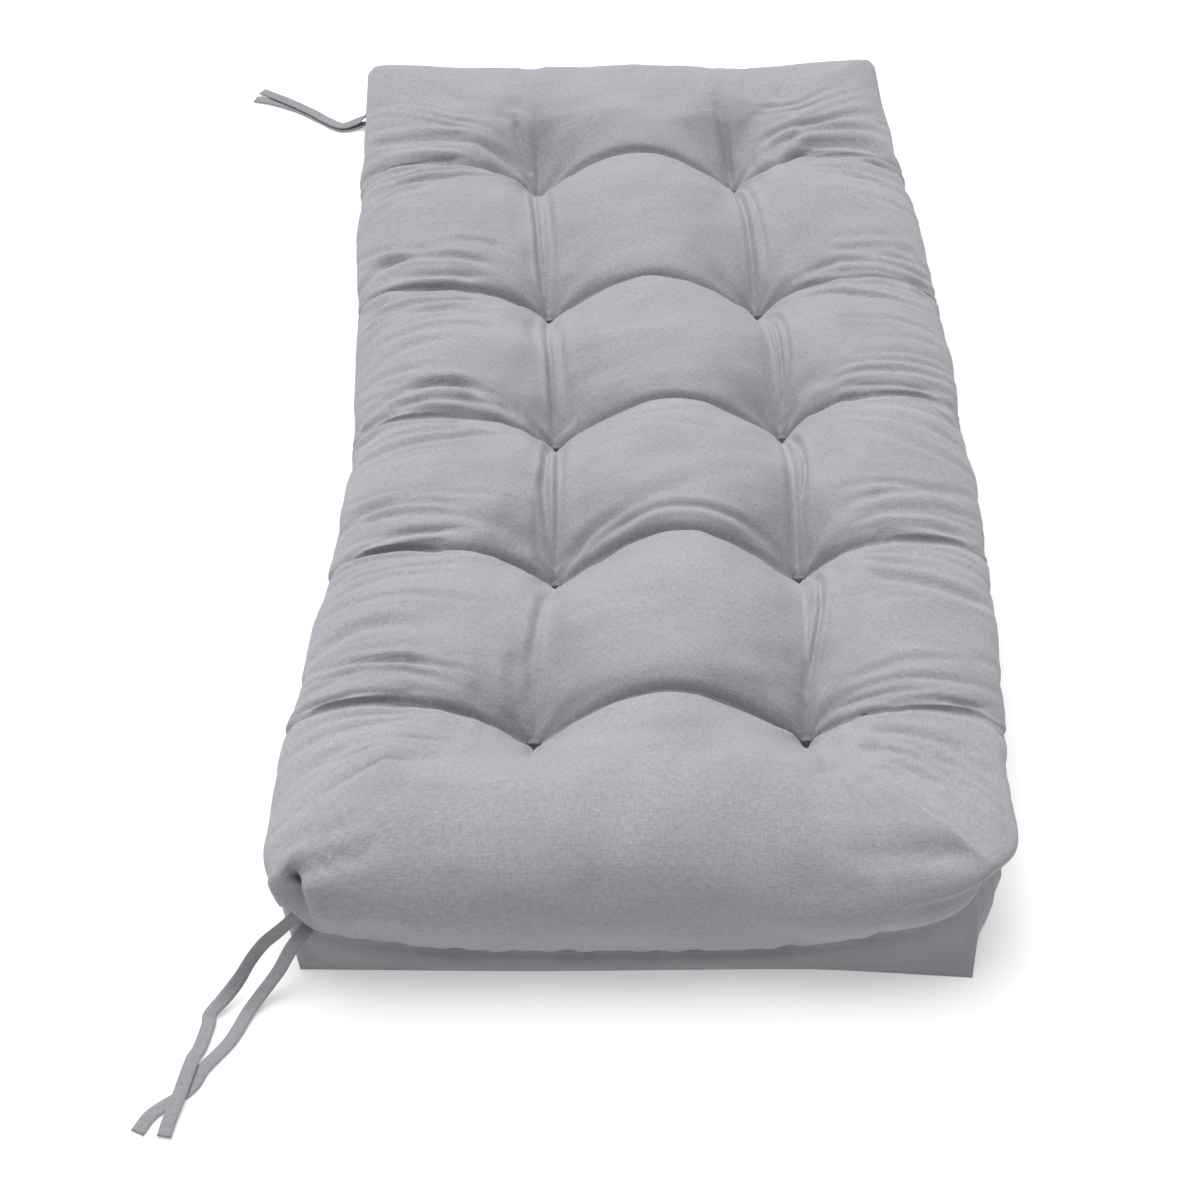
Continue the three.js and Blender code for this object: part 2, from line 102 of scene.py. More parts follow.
# One line for the near shoulder, each tuft row from near to far, and the far shoulder. Columns, each for
# left and right: y of the tuft, x of the tuft, x of the edge and x of the foot.
ALONG = np.array([
    [-415, -418, -87, 103, -258, 229, -237, 206],
    [-330, -334, -80, 108, -251, 246, -226, 218],
    [-169, -168, -62, 117, -229, 257, -202, 224],
    [-11, -6, -59, 117, -217, 258, -189, 225],
    [154, 154, -62, 109, -219, 259, -187, 222],
    [334, 336, -68, 101, -223, 251, -190, 215],
    [422, 422, -70, 99, -219, 238, -200, 218],
], float).T
LEFT_Y, RIGHT_Y, LEFT_X, RIGHT_X, LEFT_EDGE, RIGHT_EDGE, LEFT_FOOT, RIGHT_FOOT = ALONG

# One line for the left shoulder, the left tufts, the right tufts and the right shoulder. Columns: y of the
# near edge, far edge, near foot and far foot.
NEAR_EDGE, FAR_EDGE, NEAR_FOOT, FAR_FOOT = np.array([
    [-486, 499, -481, 490],
    [-499, 502, -487, 490],
    [-502, 502, -491, 489],
    [-495, 498, -501, 488],
], float).T

# Height added to each cell's crown, one line per row of cells from near to far: left, middle, right.
CELL_FILL = np.array([
    [0, 6, -6],
    [0, 9, -7],
    [-1, 3, 0],
    [-5, -3, -2],
    [-6, -4, -4],
    [-3, -1, -8],
], float)

# Seam height, bulge height, seam inset, band belly and outline rounding at each corner.
ROUNDING = 4
CORNERS = {
    "near_left": (47, 78, 9, 3, 46),
    "near_right": (66, 84, 9, 3, 54),
    "far_left": (58, 84, 8, 4, 14),
    "far_right": (62, 86, 8, 4, 14),
}

# The same at the middle of each side, then its corners and how far and how sharply each is felt.
SIDES = {
    "near": ((21, 54, 11, 4), "near_left", "near_right", (0.34, 0.46), (2.6, 1.8)),
    "far": ((46, 66, 12, 9), "far_left", "far_right", (0.4, 0.4), (2, 2)),
    "left": ((38, 62, 14, 13), "near_left", "far_left", (0.22, 0.22), (2, 2)),
    "right": ((40, 62, 13, 13), "near_right", "far_right", (0.22, 0.22), (2, 2)),
}

# The cover laid flat: the side strip's width and the sizes of the outer and inner cells.
SIDE_STRIP = 130.0
OUTER_ACROSS, INNER_ACROSS = 88.0, 178.0
OUTER_ALONG, INNER_ALONG = 85.0, 165.0

# Folds on the cover laid flat. Columns: start, middle and end across and along, half width, depth.
FOLDS = [
    (-105, 335, -160, 349, -216, 350, 6, 5),
    (-150, 336, -204, 331, -250, 326, 4.5, 3),
    (-197, 324, -215, 302, -236, 268, 4.5, 3),
    (-189, 293, -208, 272, -242, 243, 4.5, 2.5),
    (-200, 203, -229, 195, -258, 182, 5, 7),
    (-160, 160, -209, 154, -240, 127, 5, 4),
    (-162, 128, -205, 122, -240, 94, 4.5, 3.2),
    (-180, 84, -203, 80, -236, 59, 4.5, 3),
    (-190, 53, -209, 54, -242, 50, 4.5, 3),
    (-133, 11, -174, 30, -205, 28, 5, 4),
    (-158, 21, -199, 32, -242, 7, 4.5, 4),
    (-186, 20, -208, 12, -242, 1, 4, 3),
    (-190, -117, -212, -116, -242, -127, 5, 5),
    (-178, -262, -204, -255, -236, -274, 6, 5.5),
    (-127, -378, -176, -392, -219, -386, 8, 2),
    (150, -200, 199, -216, 250, -216, 6, 6.5),
    (106, -318, 155, -318, 195, -312, 7, 4),
    (190, -331, 226, -333, 254, -334, 4.5, 4),
    (168, -46, 207, -76, 248, -84, 5, 4.5),
    (100, 310, 161, 351, 204, 378, 7, 4),
    (120, 312, 200, 338, 256, 315, 6, 6.5),
    (150, 325, 208, 320, 252, 291, 4.5, 4),
    (190, 284, 219, 284, 252, 261, 4.5, 3),
    (195, 217, 221, 201, 258, 191, 4.5, 3),
    (190, 170, 223, 167, 256, 150, 4.5, 4),
    (170, -11, 205, -22, 252, -23, 4.5, 4),
    (-41, -145, -9, -128, 25, -112, 9, 3),
    (-82, -158, -64, -146, -30, -143, 6, 4),
    (-71, -160, -52, -153, -25, -155, 5, 2.5),
    (-62, -156, 5, -146, 64, -153, 4, 4),
    (-120, 203, -160, 212, -212, 203, 4, 2.5),
    (-150, 138, -190, 140, -236, 112, 3.5, 3),
    (-140, 98, -185, 104, -234, 78, 3.5, 2),
    (-130, 318, -180, 316, -232, 292, 3.5, 2.5),
    (-155, -150, -196, -152, -240, -166, 3.5, 3),
    (-150, -300, -190, -296, -236, -312, 4, 2),
    (110, 345, 165, 364, 216, 362, 4.5, 3),
    (140, -178, 190, -186, 246, -196, 3.5, 3),
    (150, -30, 196, -44, 246, -52, 3.5, 3),
    (150, 158, 200, 158, 248, 138, 3.5, 2.5),
    (140, -345, 186, -352, 230, -366, 4, 3),
    (130, -360, 180, -372, 222, -388, 4, 2.5),
    (-50, -22, -20, -30, 30, -24, 4, 1.5),
    (-20, -48, 20, -50, 55, -62, 5, 1.5),
    (76, -419, 129, -382, 185, -350, 13, 3),
    (60, -457, 62, -457, 64, -457, 22, 3),
]

# Shares of the listed width and depth that each fold gets.
FOLD_WIDTH_SHARE = 0.85
FOLD_DEPTH_SHARE = 0.72

# Narrow pleats along the tuft columns, in the same columns as the folds, and the share of depth each gets.
PLEATS = [
    (-93, 322, -95, 245, -92, 175, 2.8, 4),
    (-85, 322, -83, 245, -86, 175, 2.8, 3.5),
    (-91, 157, -92, 90, -90, 10, 2.8, 4),
    (-87, 157, -83, 80, -80, 12, 2.8, 3),
    (-93, -10, -99, -80, -91, -150, 2.8, 3.5),
    (-84, -10, -87, -80, -88, -150, 2.8, 3.5),
    (-93, -205, -95, -255, -91, -318, 3.2, 1.6),
    (88, 322, 91, 245, 89, 175, 2.8, 3),
    (97, 318, 102, 250, 104, 190, 2.8, 1.5),
    (92, 155, 98, 90, 91, 12, 2.8, 4),
    (97, 150, 105, 85, 95, 20, 2.8, 3),
    (87, -10, 85, -90, 86, -152, 2.8, 2.5),
    (94, -14, 101, -70, 97, -110, 2.8, 2.5),
    (97, -176, 107, -220, 88, -295, 3.4, 3.5),
    (-95, 340, -104, 356, -109, 382, 4, 2.5),
    (86, 340, 84, 368, 77, 408, 3.5, 3.5),
]
PLEAT_DEPTH_SHARE = 1.3
PLEAT_LIP = 0.35
PLEAT_TAPER = 3.0

# Depth of the slit along each tuft row from near to far: left, middle and right cell.
ROW_SLITS = [
    (4.5, 5, 3),
    (5, 5, 3.5),
    (4, 4, 3),
    (4, 3, 2.5),
    (2.5, 4, 2.5),
]
SLIT_WIDTH = 2.8
SLIT_STATIONS = (0.2, 0.6, 1, 1.5, 2, 2.4, 2.8)
SLIT_AT_TUFT = 2.0
SLIT_END_SHARE = 0.9

# Folds gathered into the near corners, in millimetres: start, middle and end in space, half width, depth.
CORNER_FOLDS = [
    (-238, -470, 87, -236, -479, 76, -229, -483, 56, 6, 23),
    (-239, -473, 83, -213, -469, 91, -175, -460, 96, 5, 5),
    (-246, -456, 84, -225, -452, 95, -190, -445, 101, 4.5, 3),
    (-250, -440, 80, -240, -432, 88, -215, -422, 98, 4, 2.5),
    (-232, -483, 70, -215, -490, 73, -190, -493, 70, 5, 3),
    (200, -370, 92, 229, -425, 82, 214, -468, 86, 4, 3),
    (180, -385, 97, 213, -432, 92, 208, -466, 90, 4, 3),
    (150, -385, 100, 196, -440, 96, 203, -466, 92, 4, 2.5),
    (236, -400, 75, 237, -440, 66, 219, -475, 72, 4, 3),
    (110, -475, 95, 160, -472, 92, 206, -470, 91, 7, 6),
    (150, -500, 62, 197, -493, 72, 224, -470, 70, 6, 5),
    (190, -497, 60, 198, -501, 33, 203, -502, 6, 2.5, 3),
]
CORNER_FOLD_LIP = 0.25

# Every trough's pieces, how many half widths it reaches, and where its ends start to fade.
STROKE_PIECES = 10
STROKE_MARGIN = 4
STROKE_END = 0.04
LIP_PLACE = 2

# Gathers fanned round the ends of the tuft rows, down both long sides, and loose ones in the cells.
GATHERS_PER_ROW = 11
GATHER_SPREAD = 58.0
GATHER_JITTER = 5.0
GATHER_FAN = 0.55
GATHER_INNER = (-5, 65)
GATHER_OUTER = (55, 85)
GATHER_BEND = 6.0
GATHER_TAPER = 1.05
GATHER_DEPTH = (0.8, 2.8)
GATHER_WIDTH = (2.4, 3.8)
LOOSE_PER_CELL = 3
LOOSE_SPAN = (0.15, 0.85)
LOOSE_DRIFT = 14.0
LOOSE_DEPTH_SHARE = 0.7

# The slack cover puffed out by its stuffing: mesh ratio, frames, pressure and spare cloth, then how strongly
# and how far in millimetres it is held, and how far it may move.
CLOTH_RATIO = 3
CLOTH_FRAMES = 20
STUFFING_PRESSURE = 4.0
SLACK = 0.022
ROW_HOLD = 0.85
COLUMN_HOLD = 0.25
FURROW_PIN_REACH = 5.0
TUFT_PIN_REACH = 9.0
LEAST_PIN = 0.05
OPEN_FROM_ROW = 18.0
OPEN_FROM_COLUMN = 26.0
PUFF_LIMIT = 4.5
PUFF_DIP = 0.6

# Where the folds and lumps die away: down the side, at the corners and in the tuft columns.
RELIEF_FADE = 0.5
CORNER_CALM = 45.0
CORNER_CALM_DOWN = 0.25
COLUMN_CALM = 16.0

# Creases drawn in to each tuft: fine and broad ones.
TUFT_PUCKERS = 7
TUFT_BROAD_PUCKERS = 3
TUFT_BROAD_SHARE = 0.6
TUFT_PUCKER_DEPTH = 1.1
TUFT_REACH = 16.0
TUFT_CUT = 4

# The seam's groove and puckers, in millimetres, and the band below it.
SEAM_GROOVE = 3.0
SEAM_GROOVE_WIDTH = 4.0
SEAM_SPAN = (0.3, 1.9)
SEAM_SLANT = 0.97
SEAM_PUCKER = 0.7
SEAM_PUCKER_REACH = 16.0
SEAM_PUCKER_PITCH = 19.0
BAND_STRIP = 40.0
BAND_CRUMPLE = 0.8
CRUMPLE_PITCH = 8.3
CRUMPLE_WANDER = 2
CRUMPLE_WANDER_LENGTH = 37

# Waves of puckers along the seam. Columns: share of the pitch, height, wander and the wander's length.
SEAM_WAVES = [
    (1, 1, 1.7, 47),
    (1.7, 0.7, 2.2, 71),
]

# Lumps of the stuffing. Columns: wave length, height and number of waves.
LUMPS = [
    (95, 0.9, 6),
    (48, 0.45, 8),
    (21, 0.2, 10),
]
LUMP_LENGTHS = (0.8, 1.3)
LUMP_DRIFT = 12
LUMP_DRIFT_LENGTH = 61

# The ties' tape, in millimetres, and its mesh.
TIE_WIDTH = 9.5
TIE_THICKNESS = 1.2
TIE_STEPS = 8

# A tape's section, thicker along its selvedges: shares of its half width and half thickness.
TIE_SECTION = [
    (1, 0.2), (0.93, 1), (0.4, 0.8), (-0.4, 0.8), (-0.93, 1), (-1, 0.2),
    (-1, -0.2), (-0.93, -1), (-0.4, -1), (0.4, -1), (0.93, -1), (1, -0.2),
]

# Ties from seam to free end, in millimetres: x, y, z of the tape's middle and its turn in degrees.
TIES = {
    "tie_near_upper": [
        (-234.2, -474.8, 50, 80),
        (-246, -480, 40.5, 75),
        (-258, -484, 31, 70),
        (-267, -490, 22, 60),
        (-275, -500, 14, 45),
        (-284, -509, 7, 20),
        (-293, -518, 2.2, 0),
        (-294, -527, 1.2, 0),
        (-298, -545, 1.2, 0),
        (-302, -556, 2.4, 0),
        (-308, -584, 2.4, 0),
        (-312, -600, 2.2, 0),
        (-315, -614, 1.2, 0),
    ],
    "tie_near_lower": [
        (-228, -474.9, 38, 20),
        (-240, -488, 30, 15),
        (-249, -497, 18, 10),
        (-260, -506, 7, 5),
        (-269, -518, 2, 0),
        (-279, -540, 0.8, 0),
        (-294, -561, 0.7, 0),
        (-300, -574, 0.7, 0),
        (-308, -583, 0.7, 0),
        (-324, -596, 0.7, 0),
        (-332, -610, 0.7, 0),
    ],
    "tie_far_upper": [
        (-208, 490, 57, 10),
        (-218, 512, 41, 10),
        (-223, 525, 20, 8),
        (-231, 536, 7, 0),
        (-249, 531, 2.8, 0),
        (-265, 542, 2.5, 0),
        (-277, 554, 2.5, 0),
        (-301, 574, 2.5, 0),
        (-328, 594, 2.2, 0),
    ],
    "tie_far_lower": [
        (-205.7, 492.4, 53, 10),
        (-213, 509, 34, 10),
        (-219, 521, 13, 8),
        (-230, 533, 2.8, 0),
        (-250, 529, 0.8, 0),
        (-270, 545, 0.7, 0),
        (-290, 562, 0.7, 0),
        (-314, 576, 0.7, 0),
        (-334, 583, 0.7, 0),
    ],
}

# A tuft's bar of thread: its mesh, the strands' radius in millimetres, and how they taper, bend and gather.
KNOT_STRANDS = 5
KNOT_SIDES = 8
KNOT_STEPS = 12
KNOT_RADIUS = 0.7
KNOT_TAPER = 0.35
KNOT_FILL = 0.9
KNOT_STAGGER = 0.12
KNOT_PINCH = 0.5
KNOT_RISE = 0.1
KNOT_DROP = 0.9
KNOT_BEND = 2.2

# Cloth colours, then the weave: a thread's length in widths, and the scales of streaks, patches and lint.
CLOTH = (0.352, 0.338, 0.372)
TAPE = (0.30, 0.29, 0.315)
THREAD = (0.22, 0.21, 0.235)
THREAD_RUN = 3.5
STREAK_SCALE = (14, 260, 60)
PATCH_SCALE = (16, 16, 16)
LINT_SCALE = (330, 420, 330)

# How each noise changes the tone: from and to in the noise, from and to in the tone.
THREAD_TONE = (0.75, 1.25, 0.89, 1.11)
STREAK_TONE = (0.3, 0.7, 0.97, 1.03)
PATCH_TONE = (0.3, 0.7, 0.95, 1.05)
LINT_TONE = (0.79, 0.86, 0.0, 0.22)

# The floor's half size and drop in millimetres, its grey and its glow, then the sky and the sun.
FLOOR_HALF = 25000.0
FLOOR_DROP = -0.4
FLOOR_GREY = 0.7
FLOOR_GLOW = 0.36
SKY_STRENGTH = 0.28
SUN_STRENGTH = 3.5
SUN_SPREAD = math.radians(64)
SUN_TURN = (math.radians(-24), math.radians(-8), 0)


def ease(value):
    share = np.clip(value, 0, 1)
    return share * share * (3 - 2 * share)


def between(before, start, end, after, share):
    """A smooth step from start to end that heads as its neighbours do."""
    bend = 2 * before - 5 * start + 4 * end - after
    twist = 3 * start - before - 3 * end + after
    return 0.5 * (2 * start + (end - before) * share + bend * share ** 2 + twist * share ** 3)


def curve(station, values):
    """A smooth curve through evenly spaced values, straight at both ends."""
    last = len(values) - 1
    here = np.clip(station, 0, last)
    index = np.minimum(here.astype(int), last - 1)
    share = here - index
    start = values[index]
    end = values[index + 1]
    before = np.where(index == 0, 2 * start - end, values[np.maximum(index - 1, 0)])
    after = np.where(index == last - 1, 2 * end - start, values[np.minimum(index + 2, last)])
    return between(before, start, end, after, share)


def place(across, along, left, right, near=None, far=None):
    """Plan point of a place in cells: tuft columns at 1 and 2 across, tuft rows at 1 to 5 along."""
    xs = np.stack([curve(along, left), curve(along, LEFT_X), curve(along, RIGHT_X), curve(along, right)])
    column = np.minimum(across.astype(int), CELLS_ACROSS - 1)
    share = across - column
    rows = np.arange(across.size)
    x = xs[column, rows] * (1 - share) + xs[column + 1, rows] * share
    tilt = across - 1
    y = curve(along, LEFT_Y) * (1 - tilt) + curve(along, RIGHT_Y) * tilt
    if near is not None:
        last = CELLS_ALONG - 1
        first_y = LEFT_Y[1] * (1 - tilt) + RIGHT_Y[1] * tilt
        last_y = LEFT_Y[last] * (1 - tilt) + RIGHT_Y[last] * tilt
        y = np.where(along < 1, curve(across, near) * (1 - along) + first_y * along, y)
        y = np.where(along > last, last_y + (curve(across, far) - last_y) * (along - last), y)
    return x, y


def outline(across, along):
    """The outline a shoulder point reaches out to, drawn in where the corner is rounded."""
    x, y = place(across, along, LEFT_EDGE, RIGHT_EDGE, NEAR_EDGE, FAR_EDGE)
    leftward = across < CELLS_ACROSS / 2
    nearward = along < CELLS_ALONG / 2
    to_right = np.where(leftward, 1, -1)
    to_far = np.where(nearward, 1, -1)
    edge_near = np.where(leftward, LEFT_EDGE[0], RIGHT_EDGE[0])
    edge_far = np.where(leftward, LEFT_EDGE[-1], RIGHT_EDGE[-1])
    corner_x = np.where(nearward, edge_near, edge_far)
    end_left = np.where(nearward, NEAR_EDGE[0], FAR_EDGE[0])
    end_right = np.where(nearward, NEAR_EDGE[-1], FAR_EDGE[-1])
    corner_y = np.where(leftward, end_left, end_right)
    round_near = np.where(leftward, CORNERS["near_left"][ROUNDING], CORNERS["near_right"][ROUNDING])
    round_far = np.where(leftward, CORNERS["far_left"][ROUNDING], CORNERS["far_right"][ROUNDING])
    rounding = np.where(nearward, round_near, round_far)
    on_side = (across <= 0) | (across >= CELLS_ACROSS)
    on_end = (along <= 0) | (along >= CELLS_ALONG)
    share_x = np.where(on_side, 1, np.clip(1 - (x - corner_x) * to_right / rounding, 0, 1))
    share_y = np.where(on_end, 1, np.clip(1 - (y - corner_y) * to_far / rounding, 0, 1))
    draw = 1 - 1 / np.hypot(1, np.minimum(share_x, share_y))
    return x + to_right * rounding * share_x * draw, y + to_far * rounding * share_y * draw


def around(across, along, column):
    """A seam, bulge, inset or belly size round the sides."""
    share_across = across / CELLS_ACROSS
    share_along = along / CELLS_ALONG
    runs = {"near": share_across, "far": share_across, "left": share_along, "right": share_along}
    values = []
    for side, (sizes, start, end, reach, power) in SIDES.items():
        run = runs[side]
        start_weight = np.clip(1 - run / reach[0], 0, 1) ** power[0]
        end_weight = np.clip(1 - (1 - run) / reach[1], 0, 1) ** power[1]
        start_gain = CORNERS[start][column] - sizes[column]
        end_gain = CORNERS[end][column] - sizes[column]
        values.append(sizes[column] + start_gain * start_weight + end_gain * end_weight)
    distances = np.stack([share_along, 1 - share_along, share_across, 1 - share_across])
    nearest = np.argmin(distances, axis=0)
    return np.stack(values)[nearest, np.arange(across.size)]


def from_tuft_line(station, cells):
    """0 on a tuft line, 1 in the middle of an inner cell or at an outer one's end."""
    inner = 2 * np.abs(station - np.round(station))
    outer = np.where(station < 1, 1 - station, station - (cells - 1))
    return np.where((station < 1) | (station > cells - 1), outer, inner)


def fullness(across, along, down):
    """1 on a crown, 0 at a tuft. Furrows grow soft down the side."""
    far_across = np.clip(from_tuft_line(across, CELLS_ACROSS), 0, 1)
    far_along = np.clip(from_tuft_line(along, CELLS_ALONG), 0, 1)
    softness = ease(down / SIDE_SOFTENING)

    row_share = along - np.floor(np.clip(along, 0, CELLS_ALONG - 1))
    row_sharpness = NEAR_WALL + (FAR_WALL - NEAR_WALL) * ease(row_share)

    def wall(distance, sharpness):
        sharp = (1 - (1 - distance) ** 2) ** sharpness
        return sharp * (1 - softness) + ease(distance) * softness

    def floor(distance):
        return 1 - (1 - distance) ** FLOOR_CURVE

    wall_across = wall(far_across, COLUMN_SHARPNESS)
    wall_along = wall(far_along, row_sharpness)
    end = np.clip(np.abs(along - CELLS_ALONG / 2) - (CELLS_ALONG / 2 - 1), 0, 1)
    column_floor = COLUMN_FLOOR + (END_COLUMN_FLOOR - COLUMN_FLOOR) * ease(end * END_COLUMN_RISE)
    row_part = (1 - wall_along) * ROW_FLOOR * floor(far_across)
    column_part = (1 - wall_across) * column_floor * floor(far_along)
    return wall_across * wall_along + row_part + column_part


def cell_fill(across, along):
    row = np.clip(along - 0.5, 0, CELLS_ALONG - 1)
    column = np.clip(across - 0.5, 0, CELLS_ACROSS - 1)
    left, middle, right = (curve(row, CELL_FILL[:, index]) for index in range(CELLS_ACROSS))
    near_left = left + (middle - left) * ease(column)
    near_right = middle + (right - middle) * ease(column - 1)
    return np.where(column < 1, near_left, near_right)


def top_height(across, along):
    edge_across = np.minimum(across, CELLS_ACROSS - across)
    edge_along = np.minimum(along, CELLS_ALONG - along)
    dome = ease(edge_across / DOME_REACH) * ease(edge_along / DOME_REACH)
    return SHOULDER_Z + (CROWN_Z - SHOULDER_Z) * dome + cell_fill(across, along)


def furrow_depth(across, along, down):
    return (top_height(across, along) - TUFT_Z) * (1 - fullness(across, along, down))


def top_points(across, along):
    x, y = place(across, along, LEFT_EDGE + SHOULDER_REACH, RIGHT_EDGE - SHOULDER_REACH)
    down = np.zeros_like(x)
    z = top_height(across, along) - furrow_depth(across, along, down)
    return np.stack([x, y, z], axis=1)


def under_points(across, along):
    x, y = place(across, along, LEFT_EDGE + SHOULDER_REACH, RIGHT_EDGE - SHOULDER_REACH)
    hollow = 1 - fullness(across, along, np.zeros_like(x))
    dimple = np.clip(hollow * DIMPLE_GAIN - DIMPLE_START, 0, 1)
    return np.stack([x, y, UNDER_DIMPLE_Z * dimple], axis=1)


def side_points(across, along, down):
    """down is 0 at the shoulder, 1 at the seam, 2 at the floor and 3 at the underside's edge."""
    shoulder_x, shoulder_y = place(across, along, LEFT_EDGE + SHOULDER_REACH, RIGHT_EDGE - SHOULDER_REACH)
    rim_x, rim_y = outline(across, along)
    foot_x, foot_y = place(across, along, LEFT_FOOT, RIGHT_FOOT, NEAR_FOOT, FAR_FOOT)
    span = np.hypot(rim_x - shoulder_x, rim_y - shoulder_y)
    out_x = (rim_x - shoulder_x) / span
    out_y = (rim_y - shoulder_y) / span
    seam_z, bulge_z, inset, belly = (around(across, along, column) for column in range(4))
    upper = np.clip(down, 0, 1)
    lower = np.clip(down - 1, 0, 1)
    under = np.clip(down - 2, 0, 1)
    angle = math.pi / 2 - (math.pi / 2 + TUCK_ANGLE) * upper
    edge_z = SHOULDER_Z + cell_fill(across, along)
    tuck = (1 - np.cos(angle)) / (1 - math.cos(TUCK_ANGLE))
    drop = np.sin(angle) / math.sin(TUCK_ANGLE)
    out = np.where(angle >= 0, span * np.cos(angle), span - inset * tuck)
    z_high = bulge_z + (edge_z - bulge_z) * np.sin(angle)
    z = np.where(angle >= 0, z_high, bulge_z + (bulge_z - seam_z) * drop)
    sink = furrow_depth(across, along, upper) * (1 - upper) ** SINK_FADE
    out = out - sink * np.cos(angle)
    x = shoulder_x + out_x * out
    y = shoulder_y + out_y * out
    z = z - sink * np.sin(angle)
    roll = lower ** BAND_ROLL
    bulge = belly * np.sin(math.pi * lower)
    seam_x = shoulder_x + out_x * (span - inset)
    seam_y = shoulder_y + out_y * (span - inset)
    band_x = seam_x + (foot_x - seam_x) * roll + out_x * bulge
    band_y = seam_y + (foot_y - seam_y) * roll + out_y * bulge
    x = np.where(down > 1, band_x, x)
    y = np.where(down > 1, band_y, y)
    z = np.where(down > 1, seam_z * (1 - lower), z)
    x = np.where(down > 2, foot_x + (shoulder_x - foot_x) * under, x)
    y = np.where(down > 2, foot_y + (shoulder_y - foot_y) * under, y)
    z = np.where(down > 2, 0, z)
    return np.stack([x, y, z], axis=1)


def crowded(index, steps, cells):
    """Cell stations crowded towards the furrows."""
    cell = np.minimum(index // steps, cells - 1)
    share = index / steps - cell
    inner = share - FURROW_CROWDING * np.sin(2 * math.pi * share) / (2 * math.pi)
    first = share + FURROW_CROWDING * np.sin(math.pi * share) / math.pi
    last = share - FURROW_CROWDING * np.sin(math.pi * share) / math.pi
    return cell + np.where(cell == 0, first, np.where(cell == cells - 1, last, inner))


def flatten(station, cells, outer, inner):
    """Millimetres on the cover laid flat, from its middle."""
    half = cells / 2
    offset = np.abs(station - half)
    inner_run = np.minimum(offset, half - 1) * inner
    outer_run = np.clip(offset - (half - 1), 0, 1) * outer
    side_run = np.maximum(offset - half, 0) * SIDE_STRIP
    return np.sign(station - half) * (inner_run + outer_run + side_run)


